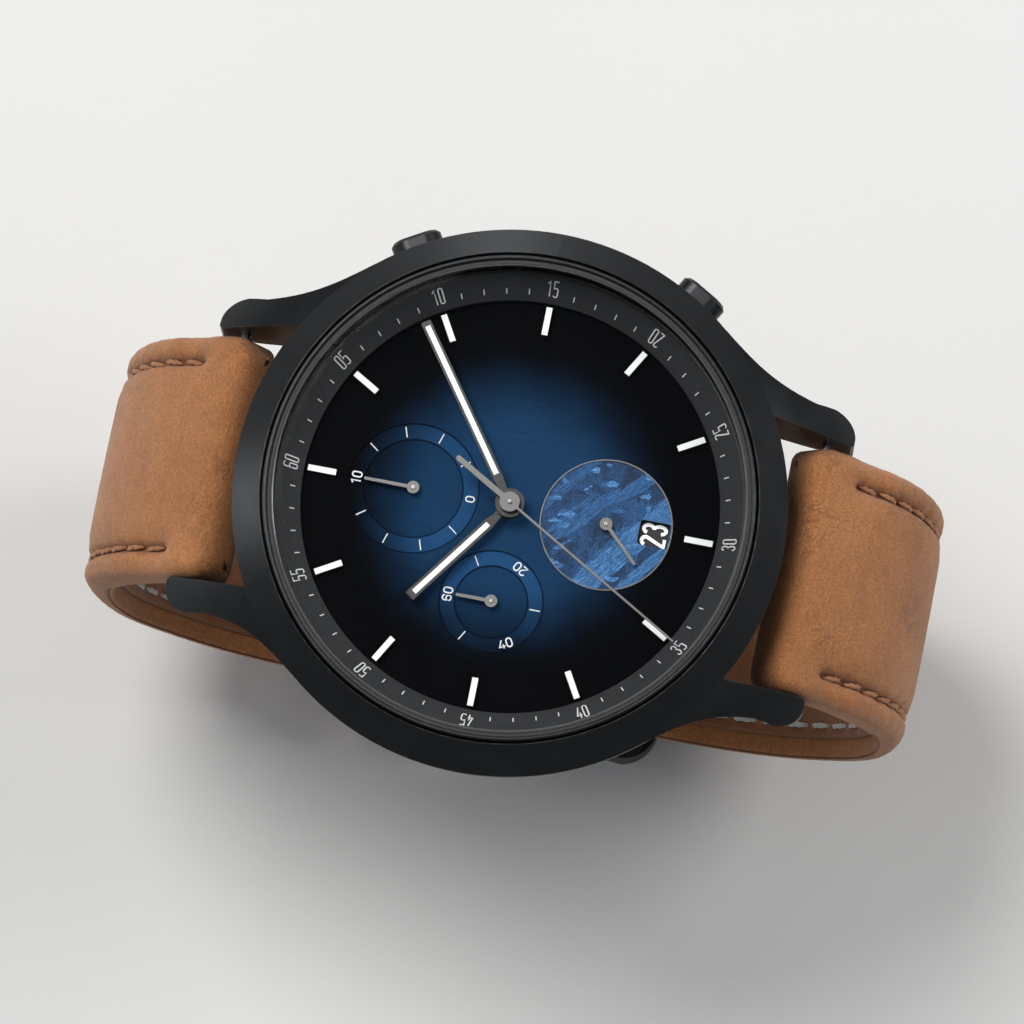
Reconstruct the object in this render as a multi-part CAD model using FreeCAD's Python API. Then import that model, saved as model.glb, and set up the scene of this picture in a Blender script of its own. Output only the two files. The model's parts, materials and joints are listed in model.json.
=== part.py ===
import FreeCAD, Part
import math
import os

# Chronograph wristwatch. Millimetres, +Z out through the crystal, +Y to 12 o'clock, +X to 3 o'clock.
# The origin is the centre of the case back's flat face, on the dial axis.

V = FreeCAD.Vector
Z_AXIS = V(0, 0, 1)
PARTS = {}

# ---- case ----
RIM_R = 21.7
RIM_Z = 9.7
RIM_BAND_Z = 9.3
CONE_TOP_R = 19.45
CONE_TOP_Z = 11.75
BEZEL_SEAT_R = 19.25
CRYSTAL_SEAT_Z = 10.0
REHAUT_SEAT_R = 18.6
DIAL_SEAT_R = 16.9
DIAL_SEAT_Z = 6.6
CAVITY_R = 15.0
BACK_R = 17.4
BACK_THICK = 1.3
BACK_SCREW_R = 16.5
LUG_GAP_HALF = 10.15
LUG_TIP_Y = 25.5
LUG_TIP_R = 28.6
BAR_Y = 23.4
BAR_Z = 3.2
BAR_R = 0.75
BAR_TIP_R = 0.4

# ---- dial side ----
DIAL_R = 16.8
DIAL_Z = 7.4
DIAL_THICK = 0.4
MARKER_TOP_Z = 7.9
MARKER_LENGTH = 2.24
MARKER_WIDTH = 0.47
MARKER_R = 15.0
REHAUT_INNER_R = 16.42
REHAUT_TOP_Z = 9.85
CRYSTAL_R = 18.58
CRYSTAL_Z = (10.15, 12.0)
COUNTER_12 = (0.0, 7.73)
COUNTER_9 = (-7.7, 0.0)
COUNTER_6 = (0.0, -7.65)
COUNTER_12_R = (3.9, 5.15)
COUNTER_9_R = (2.87, 4.07)
METEORITE_R = 5.12
METEORITE_RING_R = 5.22
RECESS_DEPTH = 0.08
DATE_WINDOW = (2.0, 2.4)
DATE_WINDOW_Y = -11.45

# ---- hands, clock angles in degrees from 12 ----
MINUTE_ANGLE = 54.3
HOUR_ANGLE = 306.0
CHRONO_ANGLE = 210.0
COUNTER_12_ANGLE = 0.0
COUNTER_9_ANGLE = 0.0
COUNTER_6_ANGLE = 224.4
COUNTER_HAND_Z = (7.75, 7.9)
HOUR_HAND_Z = (8.3, 8.55)
MINUTE_HAND_Z = (8.9, 9.15)
CHRONO_HAND_Z = (9.5, 9.65)

# ---- movement ----
PLATE_R = 13.8
PLATE_Z = (3.9, 5.6)
DATE_SEAT_Z = 6.45
TRAIN_Z = 3.45
WHEEL_THICK = 0.15
MOTION_MODULE_1 = 0.125
MOTION_MODULE_2 = 0.12
MOTION_DISTANCE = 3.0
MOTION_DIRECTION = 30.0
CANNON_TEETH = 12
MINUTE_WHEEL_TEETH = 36
MINUTE_PINION_TEETH = 10
HOUR_WHEEL_TEETH = 40
CENTRE_TEETH = 64
CENTRE_MODULE = 0.125
THIRD_TEETH = 60
THIRD_MODULE = 0.10
TRAIN_PINION_TEETH = 8
BATTERY_AT = (7.6, -5.8)
BATTERY_R = 3.95
BATTERY_Z = (1.75, 3.85)
MOTOR_ANGLES = (12.0, 55.5, 137.0, 222.0)

# ---- crown and pushers ----
STEM_Z = 4.6
CROWN_R = 2.5
CROWN_X = (20.75, 22.1)
PUSHER_ANGLES = {"2h": 30.0, "4h": -30.0}
PUSHER_HEAD = (22.05, 23.45)
PUSHER_HEAD_SIZE = (4.1, 2.8)
PUSHER_STEM_R = 0.55

# ---- strap ----
STRAP_HALF = 9.85
BUCKLE_HALF = 9.0
STRAP_START_TURN = -36.0
LEAD_LENGTH = 0.8
SHOULDER = (20.1, -50.0)
SIDE = (11.8, -14.0)
CORNER = (16.5, -80.0)
PADDED_HALF = 2.3
THIN_HALF = 1.1
PAD_END = 26.0
LINING_THICK = 0.9
COVER_THICK = 0.9
BUCKLE_BAR_Y = -4.5
TAIL_DROP = 2.75
TAIL_TIP_Y = 19.5
KEEPER_THICK = 1.0


def save(name, *solids):
    """Keep the solids of one piece, or of one group of alike pieces, under its name."""
    PARTS[name] = solids[0] if len(solids) == 1 else Part.makeCompound(list(solids))


def disc(radius, low, high, at=(0.0, 0.0)):
    return Part.makeCylinder(radius, high - low, V(at[0], at[1], low))


def ring(outer, inner, low, high, at=(0.0, 0.0)):
    return disc(outer, low, high, at).cut(disc(inner, low - 1, high + 1, at))


def rod(radius, start, end, direction=V(1, 0, 0), at=V(0, 0, 0)):
    """A round bar from start to end along a direction through a point."""
    return Part.makeCylinder(radius, end - start, at + direction * start, direction)


def box(centre, size):
    corner = V(*[c - s / 2.0 for c, s in zip(centre, size)])
    return Part.makeBox(size[0], size[1], size[2], corner)


def turned(profile):
    """A solid of revolution about the dial axis from (radius, z) corners."""
    corners = [V(r, 0, z) for r, z in profile]
    face = Part.Face(Part.makePolygon(corners + corners[:1]))
    return face.revolve(V(0, 0, 0), Z_AXIS, 360)


def prism(corners, low, high):
    points = [V(x, y, low) for x, y in corners]
    return Part.Face(Part.makePolygon(points + points[:1])).extrude(V(0, 0, high - low))


def spun(shape, clock_angle, at=(0.0, 0.0)):
    """A copy turned clockwise about a vertical line through a dial position."""
    copy = shape.copy()
    copy.rotate(V(at[0], at[1], 0), Z_AXIS, -clock_angle)
    return copy


def polar(radius, degrees):
    """A dial position from a radius and an angle counted from 3 o'clock towards 12."""
    return (radius * math.cos(math.radians(degrees)), radius * math.sin(math.radians(degrees)))


def gear(teeth, module, low, high, at=(0.0, 0.0), tooth_at=0.0):
    """A spur gear with a tooth centred on the angle tooth_at."""
    root = module * (teeth / 2.0 - 1.2)
    tip = module * (teeth / 2.0 + 0.95)
    pitch = 2 * math.pi / teeth
    shares = ((root, -0.31), (tip, -0.13), (tip, 0.13), (root, 0.31))
    corners = []
    for tooth in range(teeth):
        middle = math.radians(tooth_at) + tooth * pitch
        for radius, share in shares:
            angle = middle + share * pitch
            corners.append((at[0] + radius * math.cos(angle), at[1] + radius * math.sin(angle)))
    return prism(corners, low, high)


def spoked(wheel, rim, hub, low, high, at, spokes=4):
    """Cut the windows between a wheel's rim, hub and spokes."""
    window = ring(rim, hub, low - 0.1, high + 0.1, at)
    for spoke in range(spokes):
        bar = box((rim / 2.0, 0, (low + high) / 2.0), (rim + 0.4, rim * 0.16, high - low + 1))
        bar.rotate(V(0, 0, 0), Z_AXIS, spoke * 360.0 / spokes)
        bar.translate(V(at[0], at[1], 0))
        window = window.cut(bar)
    return wheel.cut(window)


# ---------------------------------------------------------------- case
def lug_outline(level, flare, side, corner_r):
    """The outline of the lug at 1 o'clock at one height: a concave flare from the case, then the side."""
    curve = Part.BezierCurve()
    curve.setPoles([V(x, y, level) for x, y in flare])
    root_x, root_y = flare[0]
    side_x = flare[-1][0]
    corner = V(side - corner_r, LUG_TIP_Y - corner_r, level)
    diagonal = V(math.sqrt(0.5), math.sqrt(0.5), 0) * corner_r
    back_x = LUG_GAP_HALF + 0.4
    outline = [V(corner.x, LUG_TIP_Y, level), V(LUG_GAP_HALF + 0.25, LUG_TIP_Y, level),
               V(LUG_GAP_HALF, LUG_TIP_Y - 0.25, level), V(back_x, 19.2, level), V(back_x, 13.5, level),
               V(root_x, root_y, level)]
    edges = [curve.toShape(), Part.makeLine(V(side_x, 22.0, level), V(side, corner.y, level)),
             Part.Arc(V(side, corner.y, level), corner + diagonal, outline[0]).toShape()]
    edges += [Part.makeLine(a, b) for a, b in zip(outline, outline[1:])]
    return Part.Wire(edges)


def lug_plan():
    """The lug's block in plan. Its outer side leans in towards the wrist, as the case wall does."""
    over = lug_outline(RIM_Z, [(16.6, 14.0), (14.4, 16.8), (13.3, 18.9), (13.35, 22.0)], 13.6, 2.5)
    under = lug_outline(0.0, [(15.0, 12.7), (12.75, 15.6), (11.3, 18.0), (11.3, 22.0)], 11.75, 1.3)
    return Part.makeLoft([under, over], True, True)


def lug_blank():
    """A dished ring whose top carries on from the rim's cone and falls to the lug tips."""
    top = Part.Arc(V(RIM_R, 0, RIM_Z), V(25.0, 0, 7.25), V(28.5, 0, 3.7)).toShape()
    corners = [V(28.5, 0, 3.7), V(LUG_TIP_R, 0, 1.6), V(28.1, 0, 0.7), V(24.0, 0, 0.9),
               V(20.5, 0, 1.7), V(19.6, 0, 2.2), V(19.6, 0, 8.8), V(RIM_R, 0, RIM_Z)]
    sides = [Part.makeLine(a, b) for a, b in zip(corners, corners[1:])]
    return Part.Face(Part.Wire([top] + sides)).revolve(V(0, 0, 0), Z_AXIS, 360)


def pusher_direction(angle):
    return V(math.cos(math.radians(angle)), math.sin(math.radians(angle)), 0)


def make_case():
    body = turned([
        (15.6, BACK_THICK), (15.6, 1.75), (CAVITY_R, 1.75), (CAVITY_R, DIAL_SEAT_Z),
        (DIAL_SEAT_R, DIAL_SEAT_Z), (DIAL_SEAT_R, DIAL_Z), (REHAUT_SEAT_R, DIAL_Z),
        (REHAUT_SEAT_R, CRYSTAL_SEAT_Z), (BEZEL_SEAT_R, CRYSTAL_SEAT_Z), (BEZEL_SEAT_R, 11.55),
        (CONE_TOP_R, CONE_TOP_Z), (RIM_R, RIM_Z), (RIM_R, RIM_BAND_Z), (21.2, 6.0), (20.6, 3.0),
        (20.2, 1.6), (19.4, 0.4), (17.5, 0.4), (17.5, BACK_THICK)])
    lug = lug_blank().common(lug_plan())
    lugs = [lug, lug.mirror(V(0, 0, 0), V(1, 0, 0))]
    lugs += [piece.mirror(V(0, 0, 0), V(0, 1, 0)) for piece in lugs]
    body = body.fuse(lugs).removeSplitter()
    cuts = [rod(CROWN_R + 0.25, 20.65, 26, at=V(0, 0, STEM_Z)), rod(1.2, 14, 21, at=V(0, 0, STEM_Z))]
    for angle in PUSHER_ANGLES.values():
        cuts.append(rod(1.25, 14, 24, pusher_direction(angle), V(0, 0, STEM_Z)))
    for side in (-1, 1):
        cuts.append(rod(BAR_TIP_R + 0.05, -11.7, 11.7, at=V(0, side * BAR_Y, BAR_Z)))
    for quarter in range(4):
        cuts.append(disc(0.42, 1.0, 3.3, polar(BACK_SCREW_R, 45 + 90 * quarter)))
    save("case_middle", body.cut(Part.makeCompound(cuts)))
    save("bezel_ring", turned([(18.85, CRYSTAL_SEAT_Z), (BEZEL_SEAT_R - 0.03, CRYSTAL_SEAT_Z),
                               (BEZEL_SEAT_R - 0.03, 11.75), (19.1, 11.87), (18.97, 11.87), (18.85, 11.75)]))
    low, high = CRYSTAL_Z
    save("crystal", turned([(0, low), (CRYSTAL_R, low), (CRYSTAL_R, high - 0.35), (18.3, high - 0.1),
                            (17.6, high), (0, high)]))
    save("crystal_gasket", turned([(18.2, CRYSTAL_SEAT_Z), (18.84, CRYSTAL_SEAT_Z), (18.84, 11.6),
                                   (18.59, 11.6), (18.59, low), (18.2, low)]))


def make_case_back():
    plate = turned([(0, 0), (16.9, 0), (BACK_R, 0.4), (BACK_R, BACK_THICK), (14.9, BACK_THICK),
                    (14.9, 1.9), (14.3, 1.9), (14.3, 1.25), (0, 1.25)])
    screws = []
    for quarter in range(4):
        at = polar(BACK_SCREW_R, 45 + 90 * quarter)
        plate = plate.cut(disc(0.85, -1, 0.6, at)).cut(disc(0.5, -1, 2, at))
        head = disc(0.8, 0.05, 0.6, at).fuse(disc(0.4, 0.6, 3.2, at))
        slot = box((at[0], at[1], 0.1), (0.22, 2.0, 0.3))
        slot.rotate(V(at[0], at[1], 0), Z_AXIS, 35.0 * quarter)
        screws.append(head.cut(slot))
    save("case_back", plate)
    save("case_back_screws", *screws)
    save("case_back_gasket", ring(15.58, 15.02, BACK_THICK, 1.75))


# ---------------------------------------------------------------- dial
def make_dial():
    low = DIAL_Z - DIAL_THICK
    window = box((0, DATE_WINDOW_Y, DIAL_Z), (DATE_WINDOW[0], DATE_WINDOW[1], 2))
    window = window.makeFillet(0.25, [e for e in window.Edges if abs(e.tangentAt(0).z) > 0.9])
    plate = disc(DIAL_R, low, DIAL_Z)
    for (inner, outer), at in ((COUNTER_12_R, COUNTER_12), (COUNTER_9_R, COUNTER_9)):
        plate = plate.cut(disc(outer, DIAL_Z - RECESS_DEPTH, 8, at))
        plate = plate.cut(disc(inner, DIAL_Z - 2 * RECESS_DEPTH, 8, at))
        plate = plate.cut(disc(0.4, 6, 8, at))
    plate = plate.cut(disc(METEORITE_RING_R, DIAL_Z - 0.2, 8, COUNTER_6)).cut(disc(0.4, 6, 8, COUNTER_6))
    plate = plate.cut(disc(0.95, 6, 8)).cut(window)
    for sign in (-1, 1):
        plate = plate.fuse(disc(0.4, 4.7, low, (5.2 * sign, 5.2 * sign)))
    save("dial", plate)
    stone = disc(METEORITE_R, DIAL_Z - 0.2, DIAL_Z - 0.02, COUNTER_6)
    save("meteorite_disc", stone.cut(disc(0.4, 6, 8, COUNTER_6)).cut(window))
    save("meteorite_ring", ring(METEORITE_RING_R, METEORITE_R, DIAL_Z - 0.2, DIAL_Z + 0.08, COUNTER_6))
    bases = []
    blocks = []
    for hour in range(12):
        size = (MARKER_WIDTH, MARKER_LENGTH)
        base = box((0, MARKER_R, DIAL_Z + 0.19), (size[0], size[1], 0.38))
        block = box((0, MARKER_R, MARKER_TOP_Z - 0.06), (size[0], size[1], 0.12))
        bases.append(spun(base, 30 * hour))
        blocks.append(spun(block, 30 * hour))
    save("hour_markers", *bases)
    save("marker_lume", *blocks)
    save("minute_ring", turned([(REHAUT_INNER_R, DIAL_Z), (REHAUT_INNER_R, 7.85), (18.42, REHAUT_TOP_Z),
                                (18.55, REHAUT_TOP_Z), (18.55, DIAL_Z)]))
    date = ring(13.25, 9.75, DATE_SEAT_Z + 0.05, DATE_SEAT_Z + 0.2)
    notches = []
    for place in range(31):
        notch = box((9.75, 0, DATE_SEAT_Z + 0.1), (0.7, 0.5, 1))
        notch.rotate(V(0, 0, 0), Z_AXIS, (place + 0.5) * 360.0 / 31)
        notches.append(notch)
    save("date_disc", date.cut(Part.makeCompound(notches)))


# ---------------------------------------------------------------- hands
def baton(length, width, lume_from, lume_to, levels, bore, angle):
    """A straight hand with a waisted neck and a slot filled with a luminous block."""
    low, high = levels
    half = width / 2.0
    blade = prism([(-0.28, 0.6), (-0.3, 1.45), (-half, 2.2), (-half, length - 0.1), (-half + 0.1, length),
                   (half - 0.1, length), (half, length - 0.1), (half, 2.2), (0.3, 1.45), (0.28, 0.6)], low, high)
    hand = blade.fuse(disc(1.15, low, high)).cut(disc(bore, low - 1, high + 1))
    middle = (lume_from + lume_to) / 2.0
    slot = box((0, middle, (low + high) / 2.0), (0.42, lume_to - lume_from, high - low + 1))
    block = box((0, middle, (low + high) / 2.0), (0.42, lume_to - lume_from, high - low))
    return spun(hand.cut(slot), angle), spun(block, angle)


def needle(length, width, tail, hub, levels, at, angle, tail_width=None):
    """A slim hand with a round hub, and a wider counterweight if tail_width is given."""
    low, high = levels
    half = width / 2.0
    hand = prism([(-half, 0), (-half * 0.8, length), (half * 0.8, length), (half, 0)], low, high)
    hand = hand.fuse(disc(hub, low, high))
    if tail_width:
        hand = hand.fuse(box((0, -tail / 2.0, (low + high) / 2.0), (tail_width, tail, high - low)))
        hand = hand.fuse(disc(tail_width / 2.0, low, high, (0, -tail)))
    hand = hand.removeSplitter()
    hand.translate(V(at[0], at[1], 0))
    return spun(hand, angle, at)


def make_hands():
    hour, hour_lume = baton(10.7, 0.85, 2.3, 10.2, HOUR_HAND_Z, 0.75, HOUR_ANGLE)
    minute, minute_lume = baton(15.9, 0.8, 2.5, 15.5, MINUTE_HAND_Z, 0.45, MINUTE_ANGLE)
    save("hour_hand", hour)
    save("hour_hand_lume", hour_lume)
    save("minute_hand", minute)
    save("minute_hand_lume", minute_lume)
    chrono = needle(16.85, 0.2, 5.25, 0.79, CHRONO_HAND_Z, (0, 0), CHRONO_ANGLE, 0.45)
    save("chrono_seconds_hand", chrono.cut(disc(0.15, 9, 10)))
    small = (("counter_hand_12", COUNTER_12, 3.9, COUNTER_12_ANGLE),
             ("small_seconds_hand", COUNTER_9, 2.8, COUNTER_9_ANGLE),
             ("counter_hand_6", COUNTER_6, 3.94, COUNTER_6_ANGLE))
    for name, at, length, angle in small:
        hand = needle(length, 0.3, 0, 0.5, COUNTER_HAND_Z, at, angle)
        save(name, hand.cut(disc(0.15, 7, 9, at)))


# ---------------------------------------------------------------- movement
def arbor(low, high, at, thick=0.15):
    return disc(thick, low, high, at)


def third_wheel_place():
    """Where the third wheel meshes with both the small seconds pinion and the centre wheel."""
    span = -COUNTER_9[0]
    to_centre = CENTRE_MODULE * (CENTRE_TEETH + TRAIN_PINION_TEETH) / 2.0
    to_seconds = THIRD_MODULE * (THIRD_TEETH + TRAIN_PINION_TEETH) / 2.0
    x = (span ** 2 + to_centre ** 2 - to_seconds ** 2) / (2 * span)
    return (-x, math.sqrt(to_centre ** 2 - x ** 2))


def bearing(start, end):
    return math.degrees(math.atan2(end[1] - start[1], end[0] - start[0]))


def make_wheels():
    centre = (0.0, 0.0)
    third = third_wheel_place()
    top = TRAIN_Z + WHEEL_THICK
    minute_post = polar(MOTION_DISTANCE, MOTION_DIRECTION)
    back = MOTION_DIRECTION + 180

    cannon = gear(CANNON_TEETH, MOTION_MODULE_1, 5.75, 6.15, centre, MOTION_DIRECTION)
    cannon = cannon.fuse(disc(0.45, 5.75, MINUTE_HAND_Z[1] + 0.1)).cut(disc(0.25, 5, 10))
    save("cannon_pinion", cannon)
    wheel = gear(CENTRE_TEETH, CENTRE_MODULE, TRAIN_Z, top, centre, bearing(centre, third))
    wheel = spoked(wheel, 3.5, 0.8, TRAIN_Z, top, centre)
    tube = disc(0.45, TRAIN_Z - 0.1, 5.75)
    save("centre_wheel", wheel.fuse(tube).cut(disc(0.25, 3, 6)))

    gap = 180.0 / MINUTE_WHEEL_TEETH
    wheel = gear(MINUTE_WHEEL_TEETH, MOTION_MODULE_1, 5.85, 6.0, minute_post, back + gap)
    pinion = gear(MINUTE_PINION_TEETH, MOTION_MODULE_2, 6.0, 6.6, minute_post, back)
    save("minute_wheel", wheel.fuse(pinion).cut(disc(0.2, 5, 7, minute_post)))
    gap = 180.0 / HOUR_WHEEL_TEETH
    wheel = gear(HOUR_WHEEL_TEETH, MOTION_MODULE_2, 6.4, 6.55, centre, MOTION_DIRECTION + gap)
    save("hour_wheel", wheel.fuse(disc(0.75, 6.4, HOUR_HAND_Z[1] + 0.05)).cut(disc(0.5, 6, 10)))

    gap = 180.0 / THIRD_TEETH
    wheel = gear(THIRD_TEETH, THIRD_MODULE, 2.95, 3.1, third, bearing(third, COUNTER_9) + gap)
    wheel = spoked(wheel, 2.5, 0.6, 2.95, 3.1, third)
    gap = 180.0 / TRAIN_PINION_TEETH
    pinion = gear(TRAIN_PINION_TEETH, CENTRE_MODULE, 3.1, 3.75, third, bearing(third, centre) + gap)
    save("third_wheel", wheel.fuse(pinion).fuse(arbor(2.1, 4.2, third)))

    pinion = gear(TRAIN_PINION_TEETH, THIRD_MODULE, 2.8, TRAIN_Z, COUNTER_9, bearing(COUNTER_9, third))
    wheel = gear(40, 0.12, TRAIN_Z, top, COUNTER_9)
    shaft = arbor(2.1, COUNTER_HAND_Z[1] + 0.1, COUNTER_9)
    save("small_seconds_wheel", spoked(wheel, 2.0, 0.6, TRAIN_Z, top, COUNTER_9).fuse([pinion, shaft]))

    for name, at in (("counter_wheel_12", COUNTER_12), ("counter_wheel_6", COUNTER_6)):
        wheel = spoked(gear(40, 0.12, TRAIN_Z, top, at), 2.0, 0.6, TRAIN_Z, top, at)
        save(name, wheel.fuse(arbor(2.1, COUNTER_HAND_Z[1] + 0.1, at)))
    wheel = spoked(gear(40, 0.1, 2.55, 2.7, centre), 1.7, 0.5, 2.55, 2.7, centre)
    save("chrono_seconds_wheel", wheel.fuse(arbor(2.1, CHRONO_HAND_Z[1] + 0.2, centre)))


def make_plates():
    third = third_wheel_place()
    minute_post = polar(MOTION_DISTANCE, MOTION_DIRECTION)
    pivots = [COUNTER_12, COUNTER_9, COUNTER_6, (0.0, 0.0), third]
    plate = turned([(0, PLATE_Z[0]), (PLATE_R, PLATE_Z[0]), (PLATE_R, 6.9), (13.35, 6.9),
                    (13.35, DATE_SEAT_Z), (9.4, DATE_SEAT_Z), (9.4, PLATE_Z[1]), (0, PLATE_Z[1])])
    plate = plate.fuse(disc(0.17, PLATE_Z[1], 6.7, minute_post))
    for at in pivots:
        plate = plate.cut(disc(0.5 if at == (0.0, 0.0) else 0.18, 3, 6, at))
    for sign in (-1, 1):
        plate = plate.cut(disc(0.42, 4.6, 6, (5.2 * sign, 5.2 * sign)))
    plate = plate.cut(rod(0.75, 10.0, 15, at=V(0, 0, STEM_Z)))
    for angle in PUSHER_ANGLES.values():
        plate = plate.cut(rod(0.8, 13.1, 15, pusher_direction(angle), V(0, 0, STEM_Z)))
    plate = plate.cut(box((12.9, 0, 4.1), (3.0, 1.3, 0.6)))
    save("main_plate", plate)

    low, high = 1.95, 2.4
    bridge = disc(4.6, low, high)
    for at, wide in ((COUNTER_12, 2.8), (COUNTER_9, 2.8), (COUNTER_6, 2.2)):
        arm = box((math.hypot(*at) / 2.0, 0, (low + high) / 2.0), (math.hypot(*at), 3.0, high - low))
        arm.rotate(V(0, 0, 0), Z_AXIS, bearing((0, 0), at))
        bridge = bridge.fuse(arm).fuse(disc(wide, low, high, at))
    pillars = [(2.5, 10.0), (-2.5, 10.0), (-9.8, -3.2), (-3.1, -9.9)]
    for at in pillars:
        lobe = disc(0.9, low, high, at)
        foot = box((at[0] * 0.9, at[1] * 0.9, (low + high) / 2.0), (1.6, 1.6, high - low))
        bridge = bridge.fuse(lobe).fuse(foot).fuse(disc(0.8, high, PLATE_Z[0], at))
    for at in pivots:
        bridge = bridge.cut(disc(0.18, 1, 3, at))
    for at in pillars:
        bridge = bridge.cut(disc(0.35, 1, 6, at))
    save("train_bridge", bridge)
    screws = []
    for at in pillars:
        screws.append(disc(0.65, 1.6, low, at).fuse(disc(0.33, low, 3.8, at)))
    save("movement_screws", *screws)

    board = ring(13.4, 11.2, 3.55, 3.75)
    cut_away = [disc(BATTERY_R + 0.2, 3, 4, BATTERY_AT), box((13.0, 0, 3.6), (4.5, 3.0, 1))]
    board = board.cut(Part.makeCompound(cut_away))
    can = rod(0.7, -2.5, 2.5, V(0, 1, 0), V(-12.2, 0, 2.85))
    chip = box((0, 12.2, 3.25), (2.6, 1.8, 0.6))
    save("circuit_board", *(list(board.Solids) + [can, chip]))
    low, high = BATTERY_Z
    cell = disc(BATTERY_R, low + 0.25, high, BATTERY_AT).fuse(disc(BATTERY_R - 0.5, low, low + 0.25, BATTERY_AT))
    save("battery", cell)
    strip = disc(2.2, low - 0.15, low, BATTERY_AT)
    for degrees in (10, 130, 250):
        arm = box((2.4, 0, low - 0.075), (4.6, 0.9, 0.15))
        arm.rotate(V(0, 0, 0), Z_AXIS, degrees)
        arm.translate(V(BATTERY_AT[0], BATTERY_AT[1], 0))
        strip = strip.fuse(arm)
    save("battery_clamp", strip)
    holder = ring(14.9, 13.9, 2.0, 6.5)
    windows = [rod(1.35, 13, 16, pusher_direction(angle), V(0, 0, STEM_Z)) for angle in PUSHER_ANGLES.values()]
    windows.append(rod(1.0, 13, 16, at=V(0, 0, STEM_Z)))
    save("movement_holder", holder.cut(Part.makeCompound(windows)))


def make_motors():
    """Four stepping motors: a coil on its core, a stator and a two-pole rotor each."""
    coils = []
    stators = []
    rotors = []
    for angle in MOTOR_ANGLES:
        coil = rod(0.8, -2.1, 2.1, V(0, 1, 0), V(10.3, 0, 2.65)).cut(
            box((10.3, 0, 2.65), (0.7, 6, 0.5)))
        core = box((10.3, 0, 2.65), (0.7, 5.6, 0.5))
        legs = [box((9.5, side * 2.5, 2.65), (2.3, 0.6, 0.5)) for side in (-1, 1)]
        yoke = box((8.2, 0, 2.65), (1.8, 5.6, 0.5)).cut(disc(0.65, 2, 4, (8.2, 0)))
        stator = core.fuse(legs).fuse(yoke).removeSplitter()
        rotor = disc(0.5, 2.4, 3.0, (8.2, 0)).fuse(disc(0.12, 2.0, 3.5, (8.2, 0)))
        for group, piece in ((coils, coil), (stators, stator), (rotors, rotor)):
            piece.rotate(V(0, 0, 0), Z_AXIS, angle)
            group.append(piece)
    save("motor_coils", *coils)
    save("stators", *stators)
    save("rotors", *rotors)


# ---------------------------------------------------------------- crown and pushers
def make_crown():
    start, end = CROWN_X
    bore_end = end - 0.5
    stem_end = end - 0.3
    at = V(0, 0, STEM_Z)
    head = rod(CROWN_R, start, end, at=at)
    head = head.makeChamfer(0.25, [e for e in head.Edges if e.BoundBox.XMin > end - 0.01])
    flutes = []
    for place in range(30):
        angle = math.radians(12.0 * place)
        centre = V(0, CROWN_R * math.cos(angle), STEM_Z + CROWN_R * math.sin(angle))
        flutes.append(rod(0.11, start - 1, end - 0.3, at=centre))
    head = head.cut(Part.makeCompound(flutes))
    head = head.cut(rod(1.62, start - 1, bore_end, at=at)).cut(rod(0.6, start, stem_end, at=at))
    save("crown", head)
    stem = rod(0.6, 11.4, stem_end, at=at)
    groove = rod(1.0, 12.6, 13.1, at=at).cut(rod(0.32, 12, 14, at=at))
    save("winding_stem", stem.cut(groove))
    save("crown_gasket", Part.makeTorus(1.42, 0.19, V(21.1, 0, STEM_Z), V(1, 0, 0)))
    lever = box((12.85, 0, 3.9), (0.8, 0.9, 0.12)).fuse(box((12.85, 0, 4.05), (0.36, 0.5, 0.22)))
    save("setting_lever", lever.removeSplitter())
    tubes = [rod(1.2, 15.05, 21.35, at=at).cut(rod(0.65, 15, 22, at=at))]
    seals = []
    for angle in PUSHER_ANGLES.values():
        direction = pusher_direction(angle)
        tube = rod(1.25, 15.05, 21.2, direction, at).cut(rod(0.6, 15, 22, direction, at))
        tube = tube.cut(rod(1.05, 18.0, 22, direction, at)).cut(rod(0.95, 16.1, 16.6, direction, at))
        tubes.append(tube)
        seals.append(Part.makeTorus(0.77, 0.17, at + direction * 16.35, direction))
    save("case_tubes", *tubes)
    save("pusher_gaskets", *seals)


def make_pushers():
    start, end = PUSHER_HEAD
    wide, high = PUSHER_HEAD_SIZE
    head = box(((start + end) / 2.0, 0, STEM_Z), (end - start, wide, high))
    head = head.makeFillet(1.34, [e for e in head.Edges if abs(e.tangentAt(0).x) > 0.9])
    rim = [e for e in head.Edges if abs(e.BoundBox.XMin - end) < 1e-6]
    head = head.makeChamfer(0.25, rim)
    at = V(0, 0, STEM_Z)
    pusher = head.fuse(rod(PUSHER_STEM_R, 14.3, start, at=at))
    groove = rod(1.0, 14.6, 14.85, at=at).cut(rod(0.35, 14, 15, at=at))
    pusher = pusher.cut(groove)
    clip = rod(0.9, 14.6, 14.85, at=at).cut(rod(0.35, 14, 15, at=at))
    clip = clip.cut(box((14.7, 0, STEM_Z - 1.0), (1.0, 0.5, 2.0)))
    turns = 7
    coil = Part.makeHelix((start - 0.11 - 18.11) / turns, start - 0.11 - 18.11, 0.82)
    section = Part.Wire([Part.makeCircle(0.1, V(0.82, 0, 0), V(0, 1, 0))])
    spring = Part.Wire(coil).makePipeShell([section], True, True)
    spring.rotate(V(0, 0, 0), V(0, 1, 0), 90)
    spring.translate(V(18.11, 0, STEM_Z))
    for side, angle in PUSHER_ANGLES.items():
        pieces = [piece.copy() for piece in (pusher, clip, spring)]
        for piece in pieces:
            piece.rotate(V(0, 0, 0), Z_AXIS, angle)
        save("pusher_" + side, pieces[0], pieces[1])
        save("pusher_spring_" + side, pieces[2])


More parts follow.
